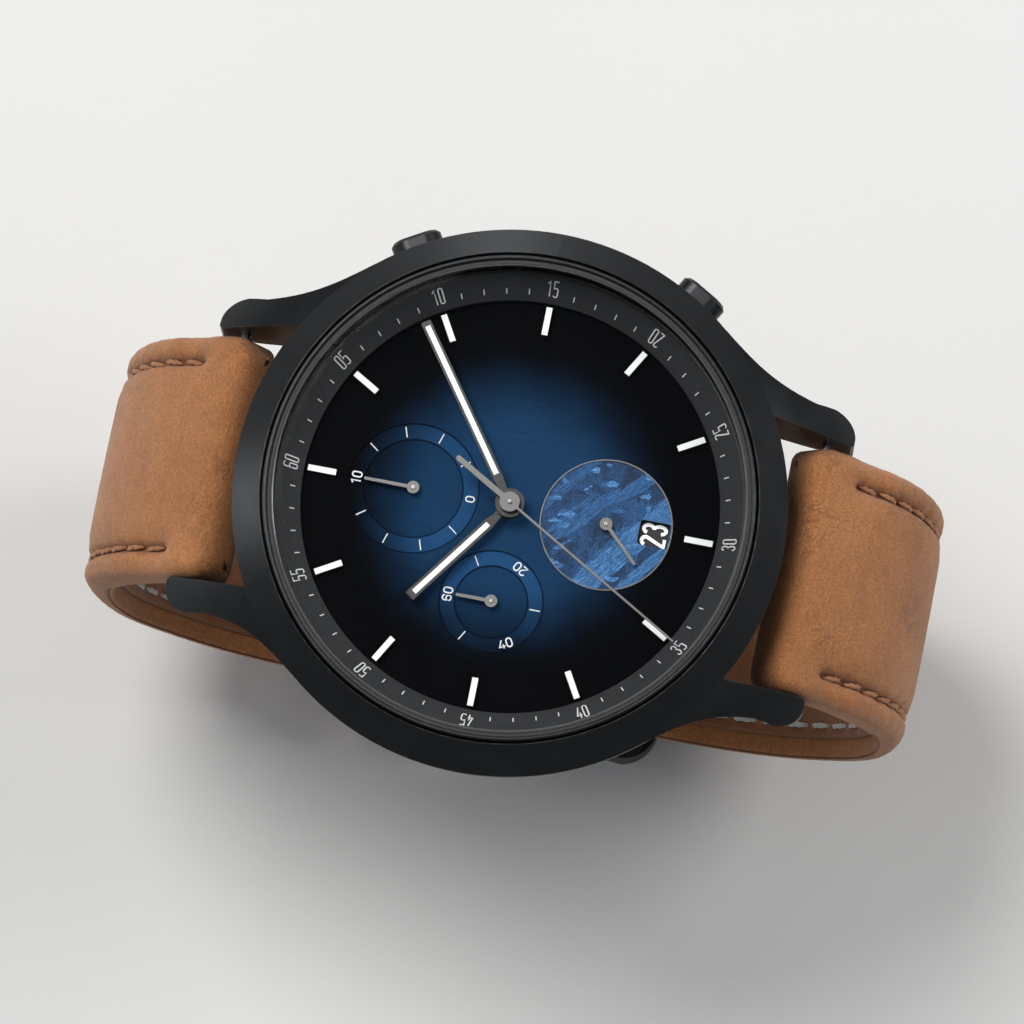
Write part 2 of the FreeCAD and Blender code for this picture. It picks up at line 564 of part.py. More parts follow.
# ---------------------------------------------------------------- strap
def strap_route():
    """Samples (distance, y, z, heading) of the strap's middle line from the spring bar to the flat."""
    y, z, heading = BAR_Y, BAR_Z, math.radians(STRAP_START_TURN)
    travelled = 0.0
    samples = [(travelled, y, z, heading)]
    arcs = [(LEAD_LENGTH, 0.0), (SHOULDER[0] * math.radians(-SHOULDER[1]), SHOULDER[1]), SIDE,
            (CORNER[0] * math.radians(-CORNER[1]), CORNER[1])]
    for length, turn in arcs:
        steps = max(1, round(length / 1.6))
        step_turn = math.radians(turn) / steps
        step = length / steps
        for _ in range(steps):
            middle = heading + step_turn / 2.0
            y += step * math.cos(middle)
            z += step * math.sin(middle)
            heading += step_turn
            travelled += step
            samples.append((travelled, y, z, heading))
    return samples


def half_thickness(travelled):
    """The padding runs out smoothly between the lugs and the side of the loop."""
    share = min(1.0, max(0.0, (travelled - 4.0) / PAD_END))
    eased = share * share * (3 - 2 * share)
    return PADDED_HALF + (THIN_HALF - PADDED_HALF) * eased


def strap_line(inset_out, inset_in, end):
    """A closed outline in the YZ plane: the strap's section along the loop, less an inset on each face.
    end is the list of (y, outer z, inner z) stations that follow the route on the flat."""
    outer = []
    inner = []
    for travelled, y, z, heading in strap_route():
        half = half_thickness(travelled)
        across = V(0, -math.sin(heading), math.cos(heading))
        outer.append(V(0, y, z) + across * (half - inset_out))
        inner.append(V(0, y, z) - across * (half - inset_in))
    curves = []
    for side in (outer, inner):
        curve = Part.BSplineCurve()
        curve.interpolate(side)
        curves.append(curve.toShape())
    nose = V(0, BAR_Y, BAR_Z) - V(0, math.cos(math.radians(STRAP_START_TURN)),
                                  math.sin(math.radians(STRAP_START_TURN))) * (PADDED_HALF - inset_out)
    edges = [Part.Arc(outer[0], nose, inner[0]).toShape(), curves[0], curves[1]]
    flat = [V(0, y, low) for y, low, _ in end] + [V(0, y, high) for y, _, high in reversed(end)]
    chain = [outer[-1]] + flat + [inner[-1]]
    edges += [Part.makeLine(a, b) for a, b in zip(chain, chain[1:]) if a.distanceToPoint(b) > 1e-6]
    return Part.Wire(Part.__sortEdges__(edges))


def strap_solid(wire, side_inset=0.0):
    """Spread a strap outline across the strap's width, narrowing from the lugs to the buckle."""
    wide = STRAP_HALF - side_inset
    narrow = BUCKLE_HALF - side_inset
    slab = Part.Face(wire).extrude(V(2 * wide, 0, 0))
    slab.translate(V(-wide, 0, 0))
    plan = [V(-wide, 40, 8), V(wide, 40, 8), V(wide, 40, -4), V(narrow, 40, -32), V(narrow, 40, -50),
            V(-narrow, 40, -50), V(-narrow, 40, -32), V(-wide, 40, -4)]
    taper = Part.Face(Part.makePolygon(plan + plan[:1])).extrude(V(0, -80, 0))
    return slab.common(taper)


def flat_level():
    return strap_route()[-1][2]


def make_strap():
    level = flat_level()
    low, high = level - THIN_HALF, level + THIN_HALF
    seam = high - LINING_THICK
    bar = V(0, BUCKLE_BAR_Y, level)

    # The short half, from 12 o'clock, ends in a loop round the buckle bar with a slot for the tongue.
    whole = strap_solid(strap_line(0, 0, [(BUCKLE_BAR_Y, low, high)]))
    bar_loop = rod(1.45, -BUCKLE_HALF, BUCKLE_HALF, at=bar)
    lining_end = BUCKLE_BAR_Y + 3.0
    bore = rod(BAR_R, -20, 20, at=bar)
    tongue_slot = box((0, BUCKLE_BAR_Y, level), (2.4, 5.0, 6))
    lug_bore = rod(BAR_R, -20, 20, at=V(0, BAR_Y, BAR_Z))
    core = strap_solid(strap_line(COVER_THICK, LINING_THICK, [(lining_end, low + 0.5, seam)]), 1.4)
    keep_clear = rod(PADDED_HALF + 0.6, -20, 20, at=V(0, BAR_Y, BAR_Z))
    lining_clip = lining_region(seam, lining_end)
    lining = whole.common(lining_clip).cut(keep_clear)
    core = core.cut(keep_clear).cut(lining_clip).common(padding_region())
    leather = whole.cut(lining).cut(core).fuse(bar_loop).cut(bore).cut(lug_bore).cut(tongue_slot)
    save("strap_short_leather", biggest(leather))

    # The long half, from 6 o'clock, drops a layer between the frame and the bar and ends in a pointed tail.
    drop_start, drop_end = BUCKLE_BAR_Y - 6.1, BUCKLE_BAR_Y - 1.7
    tail = [(-drop_start, low, high), (-drop_end, low - TAIL_DROP, high - TAIL_DROP - 0.05),
            (-TAIL_TIP_Y, low - TAIL_DROP, high - TAIL_DROP - 0.05)]
    long_whole = strap_solid(strap_line(0, 0, tail))
    long_end = 11.5
    long_clip = lining_region(seam, long_end)
    long_lining = long_whole.common(long_clip).cut(keep_clear)
    long_leather = long_whole.cut(long_lining).cut(core).cut(lug_bore)
    point = prism([(-30, 60), (-30, -TAIL_TIP_Y + 6), (-BUCKLE_HALF, -TAIL_TIP_Y + 6), (-3.0, -TAIL_TIP_Y),
                   (3.0, -TAIL_TIP_Y), (BUCKLE_HALF, -TAIL_TIP_Y + 6), (30, -TAIL_TIP_Y + 6), (30, 60)], -60, 20)
    long_leather = long_leather.common(point).cut(box((0, 8.0, level), (2.2, 5.4, 10)))
    for place in (-1.5, -8.0, 14.2, 20.0):
        long_leather = long_leather.cut(disc(0.9, -45, -34, (0, place)))
    long_lining = long_lining.cut(disc(0.9, -45, -34, (0, 14.2))).cut(disc(0.9, -45, -34, (0, 20.0)))
    save("strap_long_leather", biggest(long_leather.mirror(V(0, 0, 0), V(0, 1, 0))))
    save("strap_linings", biggest(lining), biggest(long_lining.mirror(V(0, 0, 0), V(0, 1, 0))))
    save("strap_fillers", biggest(core), biggest(core.mirror(V(0, 0, 0), V(0, 1, 0))))

    bars = [lug_bar(side * BAR_Y) for side in (-1, 1)]
    bars.append(rod(BAR_R - 0.02, -10.9, 10.9, at=bar))
    save("spring_bars", *bars)


def biggest(shape):
    return max(shape.Solids, key=lambda solid: solid.Volume)


def lug_bar(y):
    at = V(0, y, BAR_Z)
    bar = rod(BAR_R - 0.02, -9.95, 9.95, at=at)
    return bar.fuse(rod(BAR_TIP_R, -11.6, 11.6, at=at))


def lining_region(seam, end_y):
    """Everything within a lining's thickness of the strap's wrist face, from the lugs to end_y."""
    wrist = []
    cut = []
    for travelled, y, z, heading in strap_route():
        half = half_thickness(travelled)
        across = V(0, -math.sin(heading), math.cos(heading))
        wrist.append(V(0, y, z) - across * (half + 0.5))
        cut.append(V(0, y, z) - across * (half - LINING_THICK))
    edges = []
    for side in (wrist, cut):
        curve = Part.BSplineCurve()
        curve.interpolate(side)
        edges.append(curve.toShape())
    chain = [cut[-1], V(0, end_y, seam), V(0, end_y, wrist[-1].z), wrist[-1]]
    edges += [Part.makeLine(a, b) for a, b in zip(chain, chain[1:])]
    edges.append(Part.makeLine(wrist[0], cut[0]))
    slab = Part.Face(Part.Wire(Part.__sortEdges__(edges))).extrude(V(60, 0, 0))
    slab.translate(V(-30, 0, 0))
    return slab


def padding_region():
    return Part.makeBox(60, 40, 40, V(-30, 0, -24))


# ---------------------------------------------------------------- buckle
def keeper(y, width):
    """A leather band round both layers of the strap."""
    level = flat_level()
    top = level + THIN_HALF + 0.25
    bottom = level - THIN_HALF - TAIL_DROP - 0.25
    inside = box((0, y, (top + bottom) / 2.0), (2 * BUCKLE_HALF + 0.6, width, top - bottom))
    outside = box((0, y, (top + bottom) / 2.0),
                  (2 * (BUCKLE_HALF + 0.3 + KEEPER_THICK), width, top - bottom + 2 * KEEPER_THICK))
    outside = outside.makeFillet(1.6, [e for e in outside.Edges if abs(e.tangentAt(0).y) > 0.9])
    return outside.cut(inside)


def horseshoe(half, start_y, corner, level):
    """A block over the buckle with two rounded upright corners at its start."""
    block = box((0, start_y + 10.0, level), (2 * half, 20.0, 20.0))
    return block.makeFillet(corner, [e for e in block.Edges
                                     if abs(e.tangentAt(0).z) > 0.9 and e.BoundBox.YMax < start_y + 0.1])


def make_buckle():
    level = flat_level()
    floor = level - THIN_HALF - TAIL_DROP - 0.25 - KEEPER_THICK
    bar = V(0, BUCKLE_BAR_Y, level)
    save("fixed_keeper", keeper(2.6, 4.6))
    save("sliding_keeper", keeper(11.0, 4.6))
    cross_y = BUCKLE_BAR_Y - 7.5
    inner_x = BUCKLE_HALF + 0.5
    outer_x = inner_x + 1.6
    cross = box((0, cross_y, floor + 1.45), (2 * outer_x, 3.0, 2.9))
    cross = cross.makeFillet(0.7, [e for e in cross.Edges if abs(e.tangentAt(0).x) > 0.9])
    outline = [V(-outer_x, cross_y - 1.0, floor + 0.5), V(-outer_x, cross_y + 1.2, floor + 0.4),
               V(-outer_x, BUCKLE_BAR_Y + 1.5, level - 0.8), V(-outer_x, BUCKLE_BAR_Y + 1.5, level + 1.0),
               V(-outer_x, BUCKLE_BAR_Y - 0.8, level + 1.4), V(-outer_x, cross_y - 1.0, floor + 2.6)]
    arms = Part.Face(Part.makePolygon(outline + outline[:1])).extrude(V(2 * outer_x, 0, 0))
    frame = cross.fuse(arms).common(horseshoe(outer_x, cross_y - 1.5, 3.2, level))
    frame = frame.cut(horseshoe(inner_x, cross_y + 1.5, 0.5, level)).removeSplitter()
    groove = box((0, cross_y, floor), (2.2, 8.0, 2.1))
    frame = frame.cut(groove).cut(rod(BAR_R + 0.03, -20, 20, at=bar))
    save("buckle_frame", frame)
    outline = [V(0, BUCKLE_BAR_Y + 1.0, level - 0.4), V(0, BUCKLE_BAR_Y - 0.4, level + 1.0),
               V(0, BUCKLE_BAR_Y - 2.0, level - 0.4), V(0, cross_y + 1.4, floor + 0.95),
               V(0, cross_y - 1.4, floor + 0.95), V(0, cross_y - 1.4, floor + 0.2),
               V(0, cross_y + 1.6, floor + 0.1), V(0, BUCKLE_BAR_Y - 1.6, level - 1.6)]
    arm = Part.Face(Part.makePolygon(outline + outline[:1])).extrude(V(1.5, 0, 0))
    arm.translate(V(-0.75, 0, 0))
    tongue = arm.fuse(rod(1.3, -0.9, 0.9, at=bar)).cut(rod(BAR_R + 0.02, -20, 20, at=bar))
    save("buckle_tongue", tongue)


def main():
    make_case()
    make_case_back()
    make_dial()
    make_hands()
    make_wheels()
    make_plates()
    make_motors()
    make_crown()
    make_pushers()
    make_strap()
    make_buckle()
    os.makedirs("parts", exist_ok=True)
    for name, shape in PARTS.items():
        shape.exportStep("parts/" + name + ".step")
        if not shape.isValid():
            print("invalid shape:", name)
    print(len(PARTS), "nodes")


main()
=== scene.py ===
import json
import math
import random

import bmesh
import bpy
from mathutils import Matrix, Vector


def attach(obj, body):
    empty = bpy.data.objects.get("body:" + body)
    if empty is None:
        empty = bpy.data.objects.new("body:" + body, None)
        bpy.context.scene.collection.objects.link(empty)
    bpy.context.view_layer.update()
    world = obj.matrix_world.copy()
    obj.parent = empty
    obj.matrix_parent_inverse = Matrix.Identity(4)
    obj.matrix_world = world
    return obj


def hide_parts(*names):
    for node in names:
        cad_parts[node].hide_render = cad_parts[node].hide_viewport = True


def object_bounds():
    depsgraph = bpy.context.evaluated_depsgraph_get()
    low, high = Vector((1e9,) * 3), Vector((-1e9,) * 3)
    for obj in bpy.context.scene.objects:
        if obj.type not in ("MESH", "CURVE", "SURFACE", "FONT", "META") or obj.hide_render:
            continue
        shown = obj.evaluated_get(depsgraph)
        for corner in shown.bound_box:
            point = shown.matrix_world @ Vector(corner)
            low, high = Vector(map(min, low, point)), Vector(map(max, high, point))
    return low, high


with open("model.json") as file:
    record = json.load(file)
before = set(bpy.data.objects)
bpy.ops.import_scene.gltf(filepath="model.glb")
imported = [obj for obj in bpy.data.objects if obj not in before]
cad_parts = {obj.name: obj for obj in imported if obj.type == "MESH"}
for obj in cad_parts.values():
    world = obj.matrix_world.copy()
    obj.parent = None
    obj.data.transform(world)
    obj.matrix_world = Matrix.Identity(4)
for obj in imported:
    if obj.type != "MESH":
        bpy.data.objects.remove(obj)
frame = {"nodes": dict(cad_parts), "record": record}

CAD_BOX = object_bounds()
NODES = frame["nodes"]
MM = 0.001
dice = random.Random(11)


# ---------------------------------------------------------------- materials
class Paint:
    """A procedural material in the making. Its coordinates are in millimetres."""

    def __init__(self, name):
        self.material = bpy.data.materials.new(name)
        self.material.use_nodes = True
        self.tree = self.material.node_tree
        self.tree.nodes.clear()
        object_place = self.node("ShaderNodeTexCoord").outputs["Object"]
        scaled = self.node("ShaderNodeVectorMath", {0: object_place, "Scale": 1000.0}, operation="SCALE")
        self.mm = scaled.outputs[0]

    def node(self, kind, inputs=None, **settings):
        made = self.tree.nodes.new(kind)
        for key, value in settings.items():
            setattr(made, key, value)
        for key, value in (inputs or {}).items():
            socket = made.inputs[key]
            if isinstance(value, bpy.types.NodeSocket):
                self.tree.links.new(value, socket)
            else:
                socket.default_value = value
        return made

    def place(self, stretch=(1, 1, 1), turn=0.0, shift=(0, 0, 0)):
        """Coordinates moved, turned about Z and then stretched along the turned axes."""
        inputs = {"Vector": self.mm, "Scale": tuple(1.0 / s for s in stretch),
                  "Rotation": (0, 0, math.radians(turn)), "Location": shift}
        return self.node("ShaderNodeMapping", inputs, vector_type="TEXTURE").outputs[0]

    def noise(self, scale, detail=4.0, rough=0.55, at=None, distortion=0.0):
        inputs = {"Vector": at or self.mm, "Scale": scale, "Detail": detail, "Roughness": rough,
                  "Distortion": distortion}
        return self.node("ShaderNodeTexNoise", inputs).outputs[0]

    def cells(self, scale, at=None, output="Distance", feature="F1"):
        inputs = {"Vector": at or self.mm, "Scale": scale}
        return self.node("ShaderNodeTexVoronoi", inputs, feature=feature).outputs[output]

    def calc(self, operation, a, b=0.0, clamp=False):
        return self.node("ShaderNodeMath", {0: a, 1: b}, operation=operation, use_clamp=clamp).outputs[0]

    def vector(self, operation, a, b):
        return self.node("ShaderNodeVectorMath", {0: a, 1: b}, operation=operation).outputs[0]

    def span(self, value, low, high, to_low=0.0, to_high=1.0, kind="LINEAR"):
        inputs = {"Value": value, "From Min": low, "From Max": high, "To Min": to_low, "To Max": to_high}
        return self.node("ShaderNodeMapRange", inputs, interpolation_type=kind).outputs[0]

    def mix(self, share, a, b, blend="MIX"):
        a, b = [(*v, 1.0) if isinstance(v, tuple) and len(v) == 3 else v for v in (a, b)]
        made = self.node("ShaderNodeMix", {0: share, 6: a, 7: b}, data_type="RGBA", blend_type=blend)
        return made.outputs[2]

    def radius(self, centre=(0.0, 0.0)):
        """Distance from a dial point, in mm."""
        moved = self.vector("SUBTRACT", self.mm, (centre[0], centre[1], 0.0))
        flat = self.vector("MULTIPLY", moved, (1.0, 1.0, 0.0))
        return self.node("ShaderNodeVectorMath", {0: flat}, operation="LENGTH").outputs["Value"]

    def bump(self, height, depth_mm, strength=1.0, normal=None):
        inputs = {"Height": height, "Strength": strength, "Distance": depth_mm * MM}
        if normal is not None:
            inputs["Normal"] = normal
        return self.node("ShaderNodeBump", inputs).outputs[0]

    def edges(self, radius_mm):
        """(rounded normal, mask that is 1 on the edges)"""
        soft = self.node("ShaderNodeBevel", {"Radius": radius_mm * MM}, samples=4).outputs[0]
        hard = self.node("ShaderNodeNewGeometry").outputs["Normal"]
        facing = self.node("ShaderNodeVectorMath", {0: soft, 1: hard}, operation="DOT_PRODUCT")
        return soft, self.span(facing.outputs["Value"], 0.995, 0.86, 0.0, 1.0)

    def hollows(self, distance_mm):
        """Ambient occlusion for painted shade: 1 in the open, falling in creases."""
        inputs = {"Distance": distance_mm * MM}
        return self.node("ShaderNodeAmbientOcclusion", inputs, samples=6).outputs["AO"]

    def done(self, **sockets):
        names = {"colour": "Base Color", "metal": "Metallic", "rough": "Roughness", "normal": "Normal",
                 "specular": "Specular IOR Level", "ior": "IOR", "alpha": "Alpha", "coat": "Coat Weight",
                 "glow": "Emission Strength", "sheen": "Sheen Weight", "sheen_rough": "Sheen Roughness"}
        inputs = {}
        for key, value in sockets.items():
            if isinstance(value, tuple) and len(value) == 3:
                value = (*value, 1.0)
            inputs[names[key]] = value
        shader = self.node("ShaderNodeBsdfPrincipled", inputs)
        self.node("ShaderNodeOutputMaterial", {"Surface": shader.outputs[0]})
        return self.material


def coated_steel():
    p = Paint("black_steel")
    normal, edge = p.edges(0.09)
    cloudy = p.noise(0.35, 3.0)
    grain = p.noise(16.0, 3.0, 0.6)
    rubbed = p.calc("MULTIPLY", edge, p.span(p.noise(1.3, 4.0), 0.4, 0.7), clamp=True)
    colour = p.mix(cloudy, (0.029, 0.030, 0.032), (0.038, 0.039, 0.041))
    colour = p.mix(rubbed, colour, (0.105, 0.105, 0.108))
    rough = p.calc("ADD", p.span(cloudy, 0.3, 0.7, 0.30, 0.36), p.span(grain, 0.3, 0.7, 0.0, 0.06))
    return p.done(colour=colour, metal=1.0, rough=rough, normal=p.bump(grain, 0.0012, 1.0, normal))


def rubber():
    p = Paint("black_rubber")
    fine = p.noise(9.0, 4.0)
    colour = p.mix(fine, (0.006, 0.006, 0.007), (0.013, 0.013, 0.014))
    return p.done(colour=colour, rough=p.span(fine, 0.3, 0.7, 0.5, 0.7), normal=p.bump(fine, 0.004))


def minute_ring_grey():
    p = Paint("grey_ring")
    sand = p.noise(10.0, 5.0, 0.7)
    cloudy = p.noise(0.5, 2.0)
    tone = p.calc("ADD", p.span(sand, 0.25, 0.75, 0.0, 0.8), p.calc("MULTIPLY", cloudy, 0.3))
    colour = p.mix(tone, (0.010, 0.0105, 0.011), (0.042, 0.043, 0.045))
    return p.done(colour=colour, rough=p.span(sand, 0.3, 0.7, 0.52, 0.70), specular=0.24,
                  normal=p.bump(sand, 0.014))


SUBDIALS = [((0.0, 7.73), 3.9, 5.15), ((-7.7, 0.0), 2.87, 4.07)]


def dial_blue():
    p = Paint("blue_dial")
    brush = p.noise(1.0, 5.0, 0.7, at=p.place((9.0, 0.35, 1.0)))
    fine = p.noise(1.0, 3.0, 0.6, at=p.place((26.0, 1.6, 1.0)))
    cloudy = p.noise(0.25, 2.0)
    radius = p.calc("ADD", p.radius(), p.span(cloudy, 0.3, 0.7, -0.35, 0.35))
    glow = p.span(radius, 13.4, 5.5, 0.0, 1.0, "SMOOTHSTEP")
    glow = p.calc("POWER", glow, 1.35)
    streak = p.calc("ADD", p.calc("MULTIPLY", brush, 0.5), p.calc("MULTIPLY", fine, 0.5))
    blue = p.mix(streak, (0.0052, 0.026, 0.072), (0.0135, 0.055, 0.130))
    grain = p.span(streak, 0.35, 0.65, 0.85, 1.15)
    for centre, inner, outer in SUBDIALS:
        away = p.radius(centre)
        band = p.calc("MULTIPLY", p.span(away, inner, inner + 0.05), p.span(away, outer, outer - 0.05))
        blue = p.mix(p.calc("MULTIPLY", band, 0.75), blue, (0.0155, 0.073, 0.188))
        middle = p.span(away, inner, inner - 0.05)
        blue = p.mix(p.calc("MULTIPLY", middle, 0.45), blue, (0.0068, 0.035, 0.092))
        # Painted shadow: a dark line along the inner and the outer edge of each sunk sub-dial ring.
        for edge in (inner, outer):
            line = p.span(p.calc("ABSOLUTE", p.calc("SUBTRACT", away, edge)), 0.045, 0.085, 1.0, 0.0)
            blue = p.mix(p.calc("MULTIPLY", line, 0.85), blue, (0.003, 0.010, 0.022))
    lit = p.calc("MULTIPLY", glow, grain)
    colour = p.mix(lit, (0.0003, 0.0004, 0.0009), blue)
    return p.done(colour=colour, rough=p.span(fine, 0.3, 0.7, 0.55, 0.7), metal=0.0, specular=0.03,
                  normal=p.bump(streak, 0.003))


# Plates of the etched iron: turn, width and length in mm, rarity, brightness.
METEORITE_PLATES = [(48.6, 0.8, 5.0, 0.86, 0.66), (-23.4, 0.8, 4.2, 0.76, 0.46),
                    (-89.0, 0.7, 2.6, 0.78, 0.48), (12.0, 0.36, 0.8, 0.91, 0.98)]
# Long plates right across the disc: distance from its centre, half width, brightness.
METEORITE_BANDS = [(1.95, 0.92, 0.86), (4.15, 0.36, 0.84), (-4.75, 0.32, 0.60)]
METEORITE_CENTRE = (0.0, -7.73, 0.0)
METEORITE_ACROSS = (-0.624, -0.781, 0.0)
METEORITE_TONES = [(0.06, (0.0025, 0.010, 0.028)), (0.30, (0.009, 0.046, 0.125)),
                   (0.52, (0.017, 0.086, 0.238)), (0.78, (0.050, 0.185, 0.425)), (1.0, (0.18, 0.40, 0.72))]


def meteorite_blue():
    """Etched iron: long bright plates cross a dark speckled ground, each hatched along its length."""
    p = Paint("blue_meteorite")
    ground = p.cells(1.0, p.place((1.0, 0.55, 1.0), 70.0), "Color")
    ground = p.node("ShaderNodeSeparateColor", {0: ground}).outputs[0]
    cloudy = p.span(p.noise(1.1, 3.0), 0.3, 0.7, -0.08, 0.10)
    total = p.calc("ADD", p.span(ground, 0.0, 1.0, 0.14, 0.30), cloudy)
    drift = p.node("ShaderNodeTexNoise", {"Vector": p.mm, "Scale": 1.4}).outputs[1]
    wobble = p.node("ShaderNodeVectorMath", {0: drift, "Scale": 0.5}, operation="SCALE").outputs[0]
    straight = p.mm
    for number, (turn, width, length, rarity, depth) in enumerate(METEORITE_PLATES):
        shift = (3.1 * number + 1.3, 1.9 * number - 0.7, 0.0)
        p.mm = p.vector("ADD", straight, wobble)
        plate = p.cells(1.0, p.place((1.0 / width, 1.0 / length, 1.0), turn, shift), "Color")
        p.mm = straight
        hue = p.node("ShaderNodeSeparateColor", {0: plate}).outputs[number % 3]
        hatch = p.noise(1.0, 4.0, 0.78, at=p.place((11.0, 0.9, 1.0), turn + 3.0, shift))
        band = p.calc("MULTIPLY", p.span(hue, rarity, rarity + 0.04),
                      p.span(hatch, 0.30, 0.68, 0.38 * depth, depth))
        total = p.calc("MAXIMUM", total, band)
    moved = p.vector("ADD", p.vector("SUBTRACT", p.mm, METEORITE_CENTRE), wobble)
    across = p.node("ShaderNodeVectorMath", {0: moved, 1: METEORITE_ACROSS}, operation="DOT_PRODUCT")
    across = across.outputs["Value"]
    for offset, half, depth in METEORITE_BANDS:
        away = p.calc("ABSOLUTE", p.calc("SUBTRACT", across, offset))
        hatch = p.noise(1.0, 4.0, 0.78, at=p.place((17.0, 1.0, 1.0), 51.0, (offset, 0.4, 0.0)))
        band = p.calc("MULTIPLY", p.span(away, half + 0.10, half),
                      p.span(hatch, 0.36, 0.62, 0.34 * depth, depth))
        total = p.calc("MAXIMUM", total, band)
    scratch = p.noise(1.0, 5.0, 0.85, at=p.place((21.0, 3.0, 1.0), 48.0))
    cross = p.noise(1.0, 5.0, 0.85, at=p.place((20.0, 3.0, 1.0), -24.0))
    speckle = p.noise(9.5, 4.0, 0.85)
    rubbed = p.calc("ADD", p.span(scratch, 0.34, 0.66, -0.17, 0.19), p.span(cross, 0.34, 0.66, -0.15, 0.16))
    rubbed = p.calc("ADD", rubbed, p.span(speckle, 0.34, 0.66, -0.18, 0.18))
    tone = p.calc("ADD", total, rubbed, clamp=True)
    ramp = p.node("ShaderNodeValToRGB", {0: tone})
    while len(ramp.color_ramp.elements) < len(METEORITE_TONES):
        ramp.color_ramp.elements.new(0.5)
    for element, (position, value) in zip(ramp.color_ramp.elements, METEORITE_TONES):
        element.position = position
        element.color = (*value, 1.0)
    return p.done(colour=ramp.outputs[0], metal=0.0, rough=p.span(tone, 0.0, 1.0, 0.5, 0.36),
                  specular=0.2, normal=p.bump(tone, 0.012))


ARBOR_Z = 7.6  # above the dial a wheel's arbor is bare steel


def metal(name, dark, light, rough, brush=(10.0, 0.8, 10.0), depth=0.002, edge_mm=0.05, arbor=False):
    """Brushed or turned metal: streaks, slow tarnish, bright rubbed edges. An arbor's top is bare steel."""
    p = Paint(name)
    normal, edge = p.edges(edge_mm)
    streak = p.noise(1.0, 4.0, 0.65, at=p.place(brush))
    stain = p.noise(0.6, 3.0)
    tone = p.calc("ADD", p.calc("MULTIPLY", streak, 0.6), p.calc("MULTIPLY", stain, 0.4))
    colour = p.mix(tone, dark, light)
    if arbor:
        level = p.node("ShaderNodeSeparateXYZ", {0: p.mm}).outputs[2]
        colour = p.mix(p.span(level, ARBOR_Z, ARBOR_Z + 0.02), colour, (0.34, 0.34, 0.345))
    shine = tuple(min(1.0, c * 1.25) for c in light)
    colour = p.mix(p.calc("MULTIPLY", edge, 0.6), colour, shine)
    return p.done(colour=colour, metal=1.0, rough=p.span(tone, 0.3, 0.7, rough - 0.05, rough + 0.07),
                  normal=p.bump(streak, depth, 1.0, normal))


def matt(name, dark, light, rough, scale=6.0, depth=0.004, specular=0.4, coat=0.0, glow=0.0):
    """Paint, moulded plastic, felt and other plain finishes with a fine tooth."""
    p = Paint(name)
    tooth = p.noise(scale, 5.0, 0.6)
    cloudy = p.noise(0.5, 2.0)
    tone = p.calc("ADD", p.calc("MULTIPLY", tooth, 0.6), p.calc("MULTIPLY", cloudy, 0.4))
    return p.done(colour=p.mix(p.span(tone, 0.3, 0.7), dark, light), specular=specular, coat=coat, glow=glow,
                  rough=p.span(tone, 0.3, 0.7, rough - 0.06, rough + 0.08), normal=p.bump(tooth, depth))


def sapphire():
    """Clear over the dial with a faint film. The polished bevel and the wall are denser, pale and metallic: a
    painted highlight along the crystal's edge.
    """
    p = Paint("sapphire")
    radius = p.radius()
    film = p.noise(0.3, 3.0)
    face = p.span(film, 0.3, 0.7, 0.008, 0.014)
    # Painted highlight: the bevel and the wall turn denser, pale and metallic.
    bevel_highlight = p.span(radius, 18.33, 18.40)
    alpha = p.calc("ADD", face, p.calc("MULTIPLY", bevel_highlight, 0.8), clamp=True)
    colour = p.mix(bevel_highlight, (0.02, 0.024, 0.03), (0.42, 0.423, 0.427))
    rough = p.calc("ADD", p.span(film, 0.3, 0.7, 0.03, 0.07), p.calc("MULTIPLY", bevel_highlight, 0.24))
    return p.done(colour=colour, rough=rough, metal=p.calc("MULTIPLY", bevel_highlight, 0.9), specular=0.5, ior=1.77,
                  alpha=alpha, normal=p.bump(film, 0.0004))


